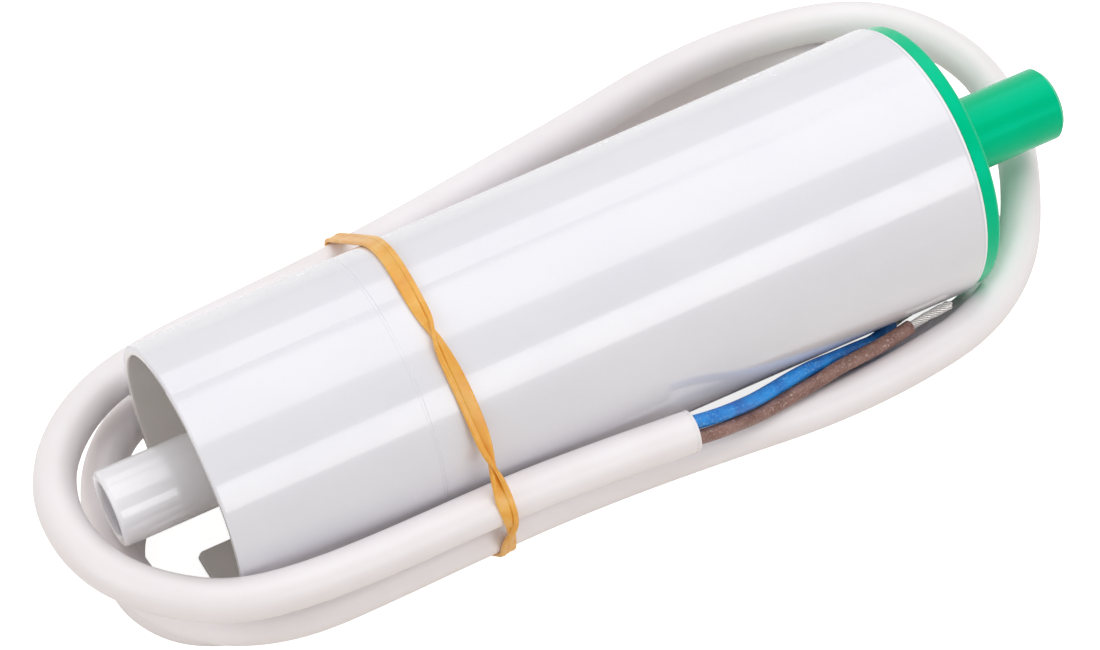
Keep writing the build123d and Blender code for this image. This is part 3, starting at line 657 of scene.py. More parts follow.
@dataclass(frozen=True)
class GrainyVinyl:
    """The insulation of a core: coloured soft plastic with a fine grain, a little glossier at its peaks, and painted
    glints: pale spots of colour in short streaks that stand for specular sparkle.
    """

    name: str
    colour: str
    painted_glint: str
    shade: str
    cloud_size: float = 3 * MM
    grain: float = 0.32 * MM
    grain_depth: float = 0.06 * MM
    glint_streak_size: float = 0.5 * MM

    def material(self) -> bpy.types.Material:
        """Returns the insulation's material."""
        surface = Surface(self.name)
        cloud = surface.noise(self.cloud_size, detail=2.0).above(0.38, 0.3)
        grain = surface.noise(self.grain, detail=3.0, rough=0.75)
        glints = grain.above(0.52, 0.12)
        painted_glint_streaks = surface.noise(self.glint_streak_size, detail=3.0, stretch=(0.12, 1.0, 1.0)).above(0.55, 0.2)
        tone = surface.mix(cloud, self.shade, self.colour)
        # Painted highlight: the glints, stronger along streaks, lighten the colour towards the pale glint colour.
        colour = surface.mix(glints * (painted_glint_streaks * 0.7 + 0.3), tone, self.painted_glint)
        return surface.close(
            {
                "Base Color": colour,
                "Roughness": 0.32 - glints * 0.1,
                "IOR": 1.5,
                "Normal": surface.bump(grain, self.grain_depth, 0.7),
            }
        )


def link(item: bpy.types.Object) -> bpy.types.Object:
    """Puts an object in the scene and returns it."""
    bpy.context.scene.collection.objects.link(item)
    return item


def settle(piece: bpy.types.Object, body: str, node: str = "") -> None:
    """Lets a piece ride on a body and hides the CAD node that it stands for, if any.

    Args:
        piece: The piece.
        body: The body that it rides on.
        node: The CAD node that it stands for, or nothing for a detail of its own.
    """
    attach(piece, body)
    if node:
        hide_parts(node)
    LOG.info("made %s", piece.name)


def scaled(points: Iterable[Point]) -> list[Vector]:
    """Turns points in millimetres into vectors in metres."""
    return [Vector(point) * MM for point in points]


def smooth_line(
    name: str,
    lines: Sequence[Sequence[Vector]],
    radius: float,
    sides: int = 5,
    steps: int = 8,
    closed: bool = False,
) -> bpy.types.Curve:
    """Makes a curve of smooth lines.

    Args:
        name: The curve's name.
        lines: The control points of each line, in metres.
        radius: The radius of the round section, or 0 for the bare line.
        sides: How finely the section is divided.
        steps: How many steps each control point adds.
        closed: True for a loop.

    Returns:
        The curve.
    """
    curve = bpy.data.curves.new(name, "CURVE")
    curve.dimensions = "3D"
    curve.resolution_u = steps
    curve.bevel_depth = radius
    curve.bevel_resolution = sides
    curve.use_fill_caps = not closed and radius > 0
    for line in lines:
        spline = curve.splines.new("NURBS")
        spline.points.add(len(line) - 1)
        for made, point in zip(spline.points, line):
            made.co = (*point, 1.0)
        spline.order_u = 3
        spline.use_cyclic_u = closed
        spline.use_endpoint_u = not closed
    return curve


def finish_curve(curve: bpy.types.Curve, material: bpy.types.Material) -> bpy.types.Object:
    """Gives a curve its material and returns it as a piece of the same name."""
    curve.materials.append(material)
    return link(bpy.data.objects.new(curve.name, curve))


def read_line(points: Sequence[Vector], steps: int) -> list[Vector]:
    """Returns the points of the smooth line that a route's control points make, in order."""
    holder = bpy.data.objects.new("route", smooth_line("route", [points], 0.0, steps=steps))
    mesh = bpy.data.meshes.new_from_object(holder)
    line = [vertex.co.copy() for vertex in mesh.vertices]
    bpy.data.objects.remove(holder)
    bpy.data.meshes.remove(mesh)
    return line


def frames_along(line: Sequence[Vector], up: Vector) -> list[Matrix]:
    """Places a frame at each point of a line, turned as little as possible from one to the next.

    Args:
        line: The points.
        up: About where the Y axis of the first frame points.

    Returns:
        The frames, each with Z along the line.
    """
    frames = []
    for number, point in enumerate(line):
        way = (line[min(number + 1, len(line) - 1)] - line[max(number - 1, 0)]).normalized()
        side = up.cross(way).normalized()
        up = way.cross(side)
        frame = Matrix((side, up, way)).transposed().to_4x4()
        frame.translation = point
        frames.append(frame)
    return frames


def sweep(mesh: bmesh.types.BMesh, outline: Sequence[Vector], frames: Sequence[Matrix], closed: bool) -> None:
    """Draws a closed outline along frames, extruding it from each to the next.

    Args:
        mesh: An empty mesh to draw in.
        outline: The outline's corners in a frame's own X and Y.
        frames: The frames in order.
        closed: True to join the last frame to the first, and False to cap both ends.
    """
    corners = bmesh.ops.create_circle(mesh, segments=len(outline), radius=1.0, cap_ends=False)["verts"]
    edges = list(mesh.edges)
    for corner, place in zip(corners, outline):
        corner.co = frames[0] @ place
    first = edges
    for frame in frames[1:]:
        grown = bmesh.ops.extrude_edge_only(mesh, edges=edges)["geom"]
        corners = [item for item in grown if isinstance(item, bmesh.types.BMVert)]
        sides = [item for item in grown if isinstance(item, bmesh.types.BMEdge)]
        edges = [side for side in sides if side.verts[0] in corners and side.verts[1] in corners]
        for corner, place in zip(corners, outline):
            corner.co = frame @ place
    if closed:
        bmesh.ops.bridge_loops(mesh, edges=first + edges)
    else:
        bmesh.ops.edgeloop_fill(mesh, edges=first)
        bmesh.ops.edgeloop_fill(mesh, edges=edges)


def turn_profile(
    mesh: bmesh.types.BMesh, profile: Sequence[Sequence[float]], centre: Point, axis: Point, steps: int
) -> None:
    """Draws an open profile and turns it all the way round an axis.

    Args:
        mesh: The mesh to add to.
        profile: The profile's corners in order.
        centre: A point on the axis.
        axis: The axis's direction.
        steps: How many flats the turned face has.
    """
    corners = [mesh.verts.new(corner) for corner in profile]
    edges = [mesh.edges.new(pair) for pair in zip(corners, corners[1:])]
    settings = {"angle": 2 * math.pi, "steps": steps, "use_merge": True, "use_duplicate": False}
    bmesh.ops.spin(mesh, geom=corners + edges, cent=centre, axis=axis, **settings)


def face_key(face: bmesh.types.BMFace, base: float = 0.7) -> float:
    """Works out a number from a face's corners, so that faces are put in the same order in each run.

    Args:
        face: The face.
        base: How much less each further corner counts.

    Returns:
        The number to sort the face by.
    """
    numbers = sorted(corner.index for corner in face.verts)
    return sum(number * base ** place for place, number in enumerate(numbers))


def finish_mesh(
    name: str, shape: bmesh.types.BMesh, material: bpy.types.Material, smooth: float
) -> bpy.types.Object:
    """Turns a bmesh into a finished piece.

    Args:
        name: The piece's name.
        shape: The bmesh, which is freed.
        material: Its material.
        smooth: The angle in degrees under which edges are smooth.

    Returns:
        The piece.
    """
    bmesh.ops.remove_doubles(shape, verts=shape.verts, dist=0.001 * MM)
    bmesh.ops.recalc_face_normals(shape, faces=shape.faces)
    shape.verts.index_update()
    shape.faces.sort(key=face_key)
    mesh = bpy.data.meshes.new(name)
    shape.to_mesh(mesh)
    shape.free()
    mesh.materials.append(material)
    for polygon in mesh.polygons:
        polygon.use_smooth = True
    mesh.set_sharp_from_angle(angle=math.radians(smooth))
    return link(bpy.data.objects.new(name, mesh))


@dataclass
class Finishes:
    """The materials of the record's slots, each made once."""

    made: dict[str, bpy.types.Material] = field(default_factory=dict)

    def build(self) -> None:
        """Makes every material."""
        finishes = (
            # body_grey's inside and spigot colours are painted light, and its rim is a painted highlight with a painted
            # shade line.
            MouldedPlastic("body_grey", "E5E4E9", "E1E0E6", coat=0.8, inside="F0ECE7", spigot="F0EEF2", rim=51.05 * MM),
            MouldedPlastic("cap_green", "00C68C", "00BE82", gloss=0.18, coat=0.0, glint=(0.0, 1.0, 0.95), ior=1.4),
            MouldedPlastic("inner_black", "26272A", "1F2023", gloss=0.30, coat=0.1),
            MouldedPlastic("impeller_plastic", "E9E6DC", "E0DCD0", gloss=0.28, coat=0.1),
            MouldedPlastic("bell_plastic", "D9D2BF", "CFC7B2", gloss=0.32, coat=0.1),
            SoftVinyl("cable_white", "F6F1F3", "F1EBEC"),
            # The cores' second colour is a painted glint, a painted highlight in the base colour.
            GrainyVinyl("core_blue", "008FE6", "9ADAFC", "0068C0"),
            GrainyVinyl("core_brown", "936C60", "E2CCC4", "70493D"),
            SoftRubber("seal_rubber", "1B1B1C", "343434"),
            DrawnRubber("band_orange", "EBA62E", "DC8E12", "F6CB80"),
            WorkedMetal("can_steel", "B9BCBE", "8E908F", pitch=0.2 * MM),
            WorkedMetal("shaft_steel", "C9CBCD", "A4A6A6", roughness=0.2),
            WorkedMetal("bush_bronze", "B9843F", "8A5E2A", roughness=0.34),
            WorkedMetal("terminal_brass", "D5B25C", "A88738", lines=Weave.ALONG_AXIS),
            WorkedMetal("copper", "D48A5C", "A7603A", roughness=0.24),
            WorkedMetal("tinned_strands", "D2CFCC", "A8A3A0", roughness=0.26, lines=Weave.ALONG_AXIS),
            StackedSteel("core_steel", "9A9B9D", "3A3A3C"),
            DullMineral("magnet_ferrite", "3A3B3E", "5A5B5D"),
            DullMineral("brush_carbon", "2A2829", "4C4A4B", roughness=0.45, metallic=0.2),
            EnamelledWire("wire_enamel", "D98A4A", "B4662C"),
        )
        for finish in finishes:
            self.made[finish.name] = finish.material()

    def __getitem__(self, name: str) -> bpy.types.Material:
        """Returns a material by name."""
        return self.made[name]

    def dress(self, frame: dict) -> None:
        """Gives each CAD node the material of its slot in the record.

        Args:
            frame: The loaded frame.
        """
        for name, node in frame["nodes"].items():
            for place in node.material_slots:
                slot = place.material.name.split(".")[0]
                place.material = self.made[slot]
                LOG.info("dressed %s in %s", name, slot)


@dataclass
class Lead:
    """The two-core lead: sheath, its cut end, cores and bare strands. Sizes and routes are in millimetres."""

    finishes: Finishes
    diameter: float = 6.0
    core_diameter: float = 2.1
    length: float = 850.0
    lip_length: float = 0.5
    lip_wall: float = 0.62
    lip_round: float = 0.12
    lip_hollow: float = 0.04
    wire_diameter: float = 0.27
    wire_rings: tuple[tuple[int, float], ...] = ((1, 0.0), (6, 1.0), (12, 1.93))
    twist: float = 9.0
    ring_turn: float = 0.3
    fan_unevenness: float = 0.4
    cut_unevenness: float = 0.35
    most_cut: float = 0.9
    route: tuple[Point, ...] = (
        # Out of the grommet and down through the notch
        (-43.3, 7.7, 11.79),
        (-49.8, 7.7, 11.79),
        (-55.9, 9.4, 8.7),
        (-65.2, 10.2, 5.6),
        # Hook under the outlet spigot, down to the floor
        (-71.9, 6.4, 4.3),
        (-74.8, -1.9, 3.5),
        (-71.4, -9.9, 3.1),
        (-64.2, -14.2, 3.1),
        # First run along the front, on the floor
        (-54.9, -15.6, 3.2),
        (-39.8, -15.6, 3.7),
        (-23.8, -16.2, 3.9),
        (-7.8, -16.2, 3.3),
        (7.0, -17.2, 3.1),
        (22.5, -18.9, 3.1),
        (38.2, -18.6, 3.1),
        # Inner loop round the cap, on the floor
        (47.8, -18.2, 3.1),
        (56.0, -16.3, 3.1),
        (61.8, -10.0, 3.1),
        (63.9, -1.6, 3.1),
        (63.9, 8.0, 3.1),
        (64.0, 18.4, 3.1),
        (62.3, 31.2, 3.1),
        (54.4, 39.3, 3.1),
        # First run along the back
        (38.7, 40.7, 3.1),
        (24.2, 39.6, 3.2),
        (9.2, 35.2, 3.9),
        (-5.8, 29.6, 5.7),
        (-19.8, 24.6, 7.9),
        (-32.8, 22.2, 9.0),
        (-44.8, 21.8, 8.8),
        (-55.3, 21.9, 8.5),
        # Inner loop under the outlet spigot
        (-63.8, 20.4, 8.6),
        (-69.2, 15.9, 9.6),
        (-73.1, 9.2, 10.3),
        (-74.9, 1.2, 10.6),
        (-74.7, -7.2, 11.1),
        (-71.8, -14.2, 11.9),
        (-66.0, -20.0, 12.9),
        # Second run along the front
        (-57.3, -23.2, 13.3),
        (-45.8, -23.2, 13.0),
        (-31.8, -22.7, 12.5),
        (-17.8, -22.1, 11.3),
        (-3.8, -22.1, 9.8),
        (10.2, -22.5, 8.1),
        (24.2, -23.5, 7.1),
        (37.7, -23.6, 7.6),
        # Outer loop under the inlet spigot
        (51.2, -22.0, 8.3),
        (61.1, -15.9, 8.9),
        (68.0, -6.6, 9.1),
        (73.8, 4.1, 8.5),
        (76.8, 16.0, 8.1),
        (74.6, 25.8, 8.1),
        (68.6, 33.9, 8.2),
        (58.8, 38.0, 8.9),
        # Second run along the back
        (46.2, 39.2, 9.7),
        (31.2, 38.3, 10.5),
        (16.2, 34.2, 12.5),
        (0.2, 29.8, 15.7),
        (-14.8, 26.0, 18.1),
        (-29.8, 23.2, 19.5),
        (-44.8, 22.6, 18.9),
        (-56.8, 22.7, 17.9),
        # Outer loop round the end of the outlet spigot
        (-67.0, 21.7, 16.5),
        (-75.0, 16.2, 16.7),
        (-79.6, 8.6, 17.9),
        (-80.9, -0.4, 19.5),
        (-78.9, -9.4, 20.9),
        (-73.6, -16.9, 21.9),
        (-66.3, -22.4, 22.4),
        # Last run along the front
        (-55.8, -23.8, 21.3),
        (-42.8, -23.7, 20.3),
        (-28.8, -23.4, 19.9),
        (-14.8, -23.5, 18.9),
        (0.8, -24.6, 18.2),
    )
    blue_route: tuple[Point, ...] = (
        (0.89, -23.76, 18.9),
        (4.8, -24.1, 18.3),
        (9.4, -23.1, 16.2),
        (12.9, -22.0, 14.3),
        (16.7, -21.0, 13.2),
        (20.4, -20.3, 12.8),
        (24.0, -19.7, 12.1),
        (27.8, -19.2, 10.9),
        (32.0, -18.8, 10.1),
        (35.8, -18.15, 8.6),
        (40.3, -14.9, 5.3),
    )
    brown_route: tuple[Point, ...] = (
        (0.71, -25.44, 17.5),
        (4.4, -25.7, 16.9),
        (8.8, -24.6, 14.75),
        (12.2, -23.7, 12.9),
        (16.0, -22.9, 12.0),
        (19.8, -22.4, 11.8),
        (23.5, -21.9, 11.65),
        (27.2, -21.35, 11.75),
        (31.0, -21.0, 11.5),
        (34.6, -20.5, 11.0),
        (37.6, -20.0, 10.8),
        (40.3, -19.5, 10.7),
    )
    blue_tip: tuple[Point, ...] = ((40.3, -14.9, 5.3), (41.4, -14.2, 4.5), (43.9, -13.2, 3.7), (46.9, -12.6, 3.3))
    brown_tip: tuple[Point, ...] = ((40.3, -19.5, 10.7), (41.5, -19.3, 10.7), (44.1, -19.1, 10.9), (47.4, -19.2, 11.3))

    def tube(self, name: str, route: Sequence[Point], radius: float, finish: str) -> bpy.types.Object:
        """Makes a round tube along a route.

        Args:
            name: The piece's name.
            route: The control points.
            radius: The tube's radius.
            finish: The finish's name.

        Returns:
            The piece.
        """
        curve = smooth_line(name, [scaled(route)], radius * MM, sides=6, steps=8)
        return finish_curve(curve, self.finishes[finish])

    def cut_end(self) -> bpy.types.Object:
        """Makes the rim of the cut sheath, which stands past the filling round the cores, and returns it."""
        last, end = Vector(self.route[-2]), Vector(self.route[-1])
        turn = Vector((0, 0, 1)).rotation_difference((end - last).normalized()).to_matrix().to_4x4()
        turn.translation = end * MM
        radius, wall, length = self.diameter / 2 * MM, self.lip_wall * MM, self.lip_length * MM
        edge, hollow = self.lip_round * MM, self.lip_hollow * MM
        outside = [(radius, 0.0, 0.0), (radius, 0.0, length - edge), (radius - edge, 0.0, length)]
        inside = [(radius - wall, 0.0, length - hollow), (radius - wall, 0.0, 0.0)]
        shape = bmesh.new()
        turn_profile(shape, outside + inside, centre=(0, 0, 0), axis=(0, 0, 1), steps=28)
        bmesh.ops.transform(shape, matrix=turn, verts=shape.verts)
        return finish_mesh("sheath_lip", shape, self.finishes["cable_white"], smooth=60)

    def strands(self, name: str, tip: Sequence[Point], splay: float) -> bpy.types.Object:
        """Makes a bundle of twisted bare wires.

        Args:
            name: The piece's name.
            tip: The control points of the bundle's middle.
            splay: How far the wires fan out at the end, as a share of the bundle.

        Returns:
            The piece.
        """
        frames = frames_along(read_line(scaled(tip), steps=5), Vector((0, 0, 1)))
        lines = []
        for ring, (count, reach) in enumerate(self.wire_rings):
            for number in range(count):
                line = []
                for place, frame in enumerate(frames):
                    share = place / (len(frames) - 1)
                    distance = (frame.translation - frames[0].translation).length / MM
                    angle = 2 * math.pi * (number / count + distance / self.twist) + self.ring_turn * ring
                    uneven = 1 - self.fan_unevenness + self.fan_unevenness * math.sin(2.3 * number + ring)
                    fan = 1 + splay * share ** 2 * uneven
                    offset = Vector((math.cos(angle), math.sin(angle), 0)) * reach * self.wire_diameter * fan * MM
                    line.append(frame @ offset)
                short = self.cut_unevenness * (1 + math.sin(5.1 * number + 2 * ring))
                line[-1] = line[-1].lerp(line[-2], min(short, self.most_cut))
                lines.append(line)
        curve = smooth_line(name, lines, self.wire_diameter / 2 * MM, sides=2, steps=3)
        return finish_curve(curve, self.finishes["tinned_strands"])

    def build(self, band: Sequence[bpy.types.Object]) -> None:
        """Args:
            band: The strips of the rubber band that holds the lead. Not used.
        """
        cable = self.tube("lead_sheath", self.route, self.diameter / 2, "cable_white")
        lip = self.cut_end()
        blue = self.tube("blue_insulation", self.blue_route, self.core_diameter / 2, "core_blue")
        brown = self.tube("brown_insulation", self.brown_route, self.core_diameter / 2, "core_brown")
        blue_wires = self.strands("blue_wires", self.blue_tip, 0.12)
        brown_wires = self.strands("brown_wires", self.brown_tip, 0.30)
        stands_for = (
            (cable, "power_cable", "cable_white"),
            (blue, "blue_core", "core_blue"),
            (brown, "brown_core", "core_brown"),
            (blue_wires, "blue_strands", "tinned_strands"),
            (brown_wires, "brown_strands", "tinned_strands"),
        )
        for piece, node, slot in stands_for:
            settle(piece, PUMP, node)
        settle(lip, PUMP)


@dataclass(frozen=True)
class Strip:
    """One of the band's two strips, on side 1 or -1 of the band's middle. Sizes are in millimetres."""

    name: str
    side: int
    width: float
    thickness: float
    spread_share: float
    roundness_share: float = 0.86
    hollow_share: float = 0.82

    def section(self) -> list[Vector]:
        """Returns the corners of the section, which has round sides and a faintly hollow back."""
        half_width, half_height = self.width / 2, self.thickness / 2
        edge = half_height * self.roundness_share
        corners = []
        for turn, (x, y) in zip((0, 90, 180, 270), ((1, 1), (-1, 1), (-1, -1), (1, -1))):
            across, up = x * (half_width - edge), y * (half_height - edge)
            for step in (0, 22.5, 45, 67.5, 90):
                angle = math.radians(turn + step)
                corners.append(Vector((across + edge * math.cos(angle), up + edge * math.sin(angle), 0)))
            if turn == 0:
                corners.append(Vector((0, half_height * self.hollow_share, 0)))
        return corners


@dataclass
class RubberBand:
    """A band laid double: two strips that cross over each other on the way round. Sizes are in millimetres."""

    finishes: Finishes
    barrel_radius: float = 19.60
    lead_radius: float = 3.0
    gap: float = 0.03
    middle_x: float = -28.5
    wander: float = 0.45
    wander_middle: float = 5.0
    wander_reach: float = 19.0
    narrow: Strip = Strip("band_strip_1", 1, 0.95, 0.70, 1.0)
    broad: Strip = Strip("band_strip_2", -1, 1.75, 0.60, 0.6)
    spread: float = 1.42
    pinch: float = 0.42
    lean: float = 0.5
    runs: tuple[tuple[float, float], ...] = (
        (-16.02, -16.68),
        (23.05, -11.90),
        (-22.55, -8.32),
        (23.84, -1.30),
        (-23.45, -0.70),
    )
    crossings: tuple[float, ...] = (6.8, 26.6, 36.6, 88.0)
    crossing_length: float = 1.9
    step: float = 0.6
    directions: int = 240

    def plane(self) -> Matrix:
        """Returns the plane of the band: X to the back, Y up, Z along the pump."""
        plane = Matrix(((0, 1, 0), (0, 0, 1), (1, 0, 0))).transposed().to_4x4()
        plane.translation = Vector((self.middle_x * MM, 0, AXIS_HEIGHT))
        return plane

    def outline(self) -> list[tuple[Vector, Vector]]:
        """Works out the line that a taut band takes round the barrel and every run of the lead, from the top on.

        Returns:
            The points of the line and the outward way at each, in the plane of the band.
        """
        circles = [(0.0, 0.0, self.barrel_radius + self.gap)]
        circles += [(x, y, self.lead_radius + self.gap) for x, y in self.runs]
        line = []
        for number in range(self.directions):
            angle = 2 * math.pi * (number / self.directions + 0.25)
            out = Vector((math.cos(angle), math.sin(angle), 0))
            x, y, radius = max(circles, key=lambda circle: circle[0] * out.x + circle[1] * out.y + circle[2])
            line.append((Vector((x, y, 0)) + out * radius, out))
        return line

    @staticmethod
    def evened(line: Sequence[tuple[Vector, Vector]], step: float) -> list[tuple[Vector, Vector]]:
        """Divides the long straight stretches of a closed line.

        Args:
            line: The points and outward ways.
            step: The longest stretch that stays whole.

        Returns:
            The points and outward ways with the new ones between.
        """
        even = []
        for (point, out), (next_point, next_out) in zip(line, [*line[1:], line[0]]):
            parts = max(1, math.ceil((next_point - point).length / step))
            for part in range(parts):
                even.append((point.lerp(next_point, part / parts), out.lerp(next_out, part / parts).normalized()))
        return even

    def strip(self, kind: Strip) -> bpy.types.Object:
        """Makes one strip.

        Args:
            kind: The strip's name, side and section.

        Returns:
            The piece.
        """
        plane = self.plane() @ Matrix.Diagonal((MM, MM, MM, 1))
        line = self.evened(self.outline(), self.step)
        round_trip = sum((after[0] - before[0]).length for before, after in zip(line, [*line[1:], line[0]]))
        travelled, frames = 0.0, []
        for number, (point, out) in enumerate(line):
            before, after = line[number - 1][0], line[(number + 1) % len(line)][0]
            if number:
                travelled += (point - before).length
            ahead = [(crossing - travelled) / self.crossing_length for crossing in self.crossings]
            swing = math.pi * sum(1 / (1 + math.exp(distance)) for distance in ahead)
            apart = math.cos(swing)
            over = abs(math.sin(swing)) if kind.side > 0 else 0.0
            lean = self.lean * math.sin(2 * swing) * kind.side
            away = abs((travelled - self.wander_middle + round_trip / 2) % round_trip - round_trip / 2)
            drift = -self.wander * math.cos(math.pi * min(away / self.wander_reach, 1.0))
            middle = point + out * (kind.thickness / 2 + self.broad.thickness * over)
            middle.z = drift + apart * kind.side * self.spread / 2 * kind.spread_share
            way = (after - before).normalized()
            up = (out + Vector((0, 0, math.tan(lean)))).normalized()
            across = up.cross(way).normalized()
            local = Matrix((across, way.cross(across), way)).transposed().to_4x4()
            local.translation = middle
            pinch = 1 - self.pinch * abs(math.sin(swing))
            frames.append(plane @ local @ Matrix.Diagonal((pinch, 2 - pinch, 1, 1)))
        shape = bmesh.new()
        sweep(shape, kind.section(), frames, closed=True)
        return finish_mesh(kind.name, shape, self.finishes["band_orange"], smooth=70)

    def build(self) -> list[bpy.types.Object]:
        """Makes both strips and returns them."""
        strips = [self.strip(self.narrow), self.strip(self.broad)]
        for piece in strips:
            settle(piece, PUMP, "rubber_band")
        return strips


@dataclass
class Seam:
    """The bead of plastic that fills the joint between head and barrel. Sizes are in millimetres."""

    finishes: Finishes
    middle_x: float = -33.9
    radius: float = 19.47
    width: float = 0.5
    depth: float = 0.3
    top_share: float = 0.8

    def build(self) -> None:
        """Makes the bead and lets it ride on the pump."""
        half, top, foot = self.width / 2, self.radius, self.radius - self.depth
        outline = [(-half, foot), (-half * self.top_share, top), (half * self.top_share, top), (half, foot)]
        profile = [((self.middle_x + along) * MM, 0.0, out * MM + AXIS_HEIGHT) for along, out in outline]
        shape = bmesh.new()
        turn_profile(shape, profile, centre=(self.middle_x * MM, 0.0, AXIS_HEIGHT), axis=(1, 0, 0), steps=128)
        settle(finish_mesh("seam_bead", shape, self.finishes["body_grey"], smooth=30), PUMP)


@dataclass
class Windings:
    """The wound wire of the three armature coils. Sizes are in millimetres."""

    finishes: Finishes
    coils: int = 3
    middle_x: float = 2.2
    inside_length: float = 18.1
    inside_width: float = 4.72
    inner_radius: float = 4.78
    outer_radius: float = 7.81
    build_up: float = 2.1
    shoe_radius: float = 8.06
    wire_diameter: float = 0.42
    least_corner: float = 0.5

    def coil(self, number: int) -> bpy.types.Object:
        """Makes one coil.

        Args:
            number: The coil's number, from 0.

        Returns:
            The piece.
        """
        turns = int((self.outer_radius - self.inner_radius) / self.wire_diameter)
        layers = int(self.build_up / self.wire_diameter)
        angle = 2 * math.pi * number / self.coils
        wire_radius = self.wire_diameter / 2
        lines = []
        for layer in range(layers):
            for turn in range(turns):
                height = self.inner_radius + self.wire_diameter * (turn + 0.5)
                reach = self.wire_diameter * (layer + 0.5)
                half_width = self.inside_width / 2 + reach
                if math.hypot(half_width + wire_radius, height + wire_radius) > self.shoe_radius:
                    continue
                lines.append(self.loop(self.inside_length / 2 + reach, half_width, reach, height, angle))
        curve = smooth_line(f"coil_wire_{number + 1}", lines, wire_radius * MM, sides=1, steps=3, closed=True)
        return finish_curve(curve, self.finishes["wire_enamel"])

    def loop(self, half_length: float, half_width: float, reach: float, height: float, angle: float) -> list[Vector]:
        """Lays one turn round the neck of a pole.

        Args:
            half_length: Half the turn's length along the shaft.
            half_width: Half its width.
            reach: How far it stands off the pole, which also sets its corner's radius.
            height: Its distance from the shaft's middle.
            angle: The pole's turn in radians.

        Returns:
            The turn's control points in metres.
        """
        corner = max(reach, self.least_corner)
        points = []
        for along, across in ((1, 1), (-1, 1), (-1, -1), (1, -1)):
            near_end = (along * half_length, across * (half_width - corner))
            near_side = (along * (half_length - corner), across * half_width)
            pair = [near_end, (along * half_length, across * half_width), near_side]
            points += pair if along * across > 0 else pair[::-1]
        turn = Matrix.Rotation(angle, 4, "X")
        middle, shaft = Vector((self.middle_x, 0, 0)), Vector((0, 0, AXIS_HEIGHT))
        return [(turn @ (middle + Vector((along, height, across)))) * MM + shaft for along, across in points]

    def build(self) -> None:
        """Makes the coils and lets them turn with the rotor."""
        for number in range(self.coils):
            settle(self.coil(number), ROTOR, f"armature_coil_{number + 1}")


@dataclass(frozen=True)
class Softbox:
    """A rectangular soft light: where it stands, what it faces, its width and height, and its power in watts."""

    name: str
    place: Point
    target: Point
    size: tuple[float, float]
    watts: float

    def build(self) -> None:
        """Makes the light."""
        light = bpy.data.lights.new(self.name, "AREA")
        light.shape = "RECTANGLE"
        light.size, light.size_y = self.size
        light.energy = self.watts
        item = link(bpy.data.objects.new(self.name, light))
        item.location = self.place
        item.rotation_euler = (Vector(self.target) - Vector(self.place)).to_track_quat("-Z", "Y").to_euler()


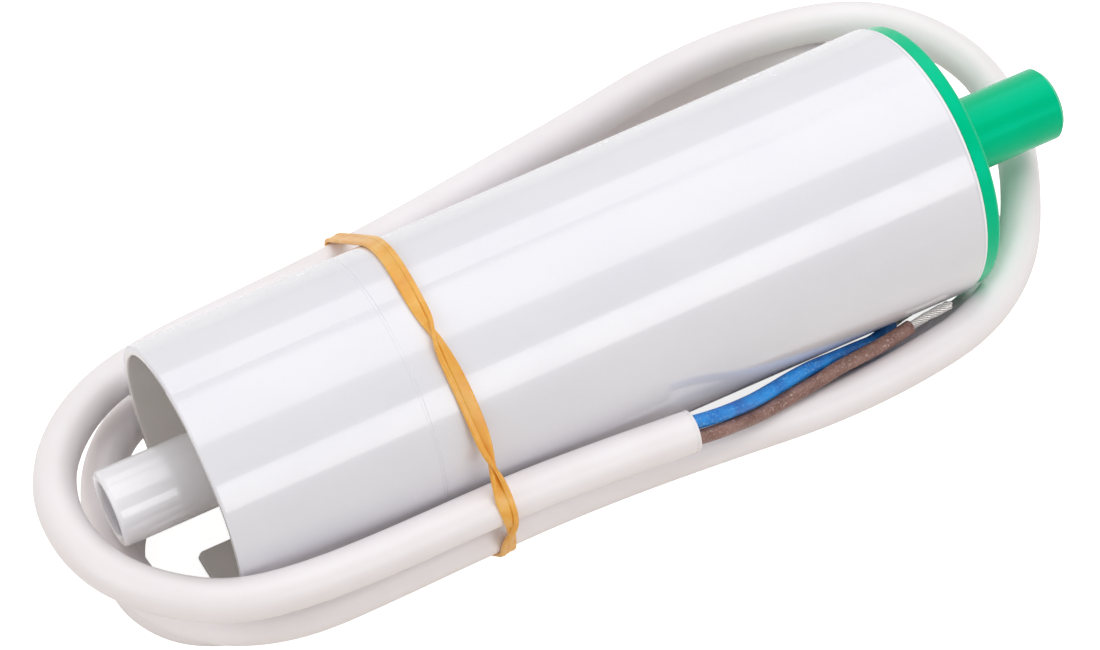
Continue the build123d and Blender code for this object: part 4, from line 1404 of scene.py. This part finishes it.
@dataclass
class Studio:
    """The white table, the soft lights and the camera at the photograph's place."""

    eye: Point = (-0.13684, -0.23935, 0.39157)
    azimuth: float = -28.365
    elevation: float = 53.88
    lens: float = 108.03
    sensor: float = 36.0
    table_size: float = 3.0
    cloud_size: float = 0.25
    glow_in_gloss: float = 0.1
    glow_in_view: float = 0.82
    room_light: float = 0.54
    softboxes: tuple[Softbox, ...] = (
        Softbox("softbox_top", (0.27, 0.09, 0.9), (0.27, 0.09, 0.0), (0.9, 0.66), 2.8),
        Softbox("softbox_front", (0.27, -0.83, 0.51), (0.0, 0.0, 0.02), (0.5, 0.40), 1.6),
        Softbox("softbox_back", (0.27, 0.62, 0.72), (0.0, 0.0, 0.02), (0.8, 0.42), 1.2),
        Softbox("softbox_left", (-0.9, 0.1, 0.5), (0.0, 0.0, 0.02), (0.6, 0.6), 2.0),
    )

    def table(self) -> None:
        """Makes the table and its white surface."""
        surface = Surface("table_white")
        rays = surface.node("ShaderNodeLightPath")
        mirrored = Signal(surface, rays.outputs["Is Glossy Ray"]) + Signal(surface, rays.outputs["Is Transmission Ray"])
        cloud = surface.noise(self.cloud_size, detail=2.0)
        plain = surface.node("ShaderNodeBsdfDiffuse", values={"Color": surface.mix(cloud, "E6DCD0", "EAE1D6")})
        white = {
            "Base Color": surface.mix(cloud, "F2F2F2", "F6F6F6"),
            "Roughness": 1.0,
            "Specular IOR Level": 0.0,
            "Emission Color": (1, 1, 1, 1),
        }
        shown = plain.outputs[0]
        for amount, glow in (
            (mirrored.clamped(), self.glow_in_gloss),
            (rays.outputs["Is Camera Ray"], self.glow_in_view),
        ):
            bright = surface.node("ShaderNodeBsdfPrincipled", values={**white, "Emission Strength": glow})
            shown = surface.blend(amount, shown, bright.outputs[0])
        surface.node("ShaderNodeOutputMaterial", values={"Surface": shown})
        shape = bmesh.new()
        bmesh.ops.create_grid(shape, x_segments=1, y_segments=1, size=self.table_size)
        mesh = bpy.data.meshes.new("table")
        shape.to_mesh(mesh)
        shape.free()
        mesh.materials.append(surface.material)
        link(bpy.data.objects.new("table", mesh))

    def sky(self) -> None:
        """Makes the room's even light, which shows white to the camera."""
        world = bpy.data.worlds.new("room")
        room = Nodes(world)
        rays = room.node("ShaderNodeLightPath")
        even = {"Color": (0.985, 0.99, 1.0, 1), "Strength": self.room_light}
        shown = room.node("ShaderNodeBackground", values=even).outputs[0]
        white = room.node("ShaderNodeBackground", values={"Color": (1, 1, 1, 1), "Strength": 1.0})
        for kind in ("Is Camera Ray", "Is Glossy Ray", "Is Transmission Ray"):
            shown = room.blend(rays.outputs[kind], shown, white.outputs[0])
        room.node("ShaderNodeOutputWorld", values={0: shown})
        bpy.context.scene.world = world

    def camera(self) -> None:
        """Makes the camera."""
        lens = bpy.data.cameras.new("viewpoint")
        lens.lens = self.lens
        lens.sensor_width = self.sensor
        lens.clip_start, lens.clip_end = 0.01, 20.0
        item = link(bpy.data.objects.new("viewpoint", lens))
        azimuth, elevation = math.radians(self.azimuth), math.radians(self.elevation)
        level = math.cos(elevation)
        way = Vector((-math.sin(azimuth) * level, math.cos(azimuth) * level, -math.sin(elevation)))
        item.location = self.eye
        item.rotation_euler = way.to_track_quat("-Z", "Y").to_euler()
        bpy.context.scene.camera = item

    def build(self) -> None:
        """Makes the whole studio."""
        self.camera()
        self.table()
        self.sky()
        for softbox in self.softboxes:
            softbox.build()
        bpy.context.scene.view_settings.view_transform = "Standard"
        LOG.info("studio ready")


def main() -> None:
    """Builds the studio, the lead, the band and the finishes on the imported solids."""
    logging.basicConfig(level=logging.INFO, format="%(name)s: %(message)s")
    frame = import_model()
    finishes = Finishes()
    finishes.build()
    Studio().build()
    band = RubberBand(finishes).build()
    Seam(finishes).build()
    Lead(finishes).build(band)
    finishes.dress(frame)
    Windings(finishes).build()


if __name__ == "__main__":
    main()
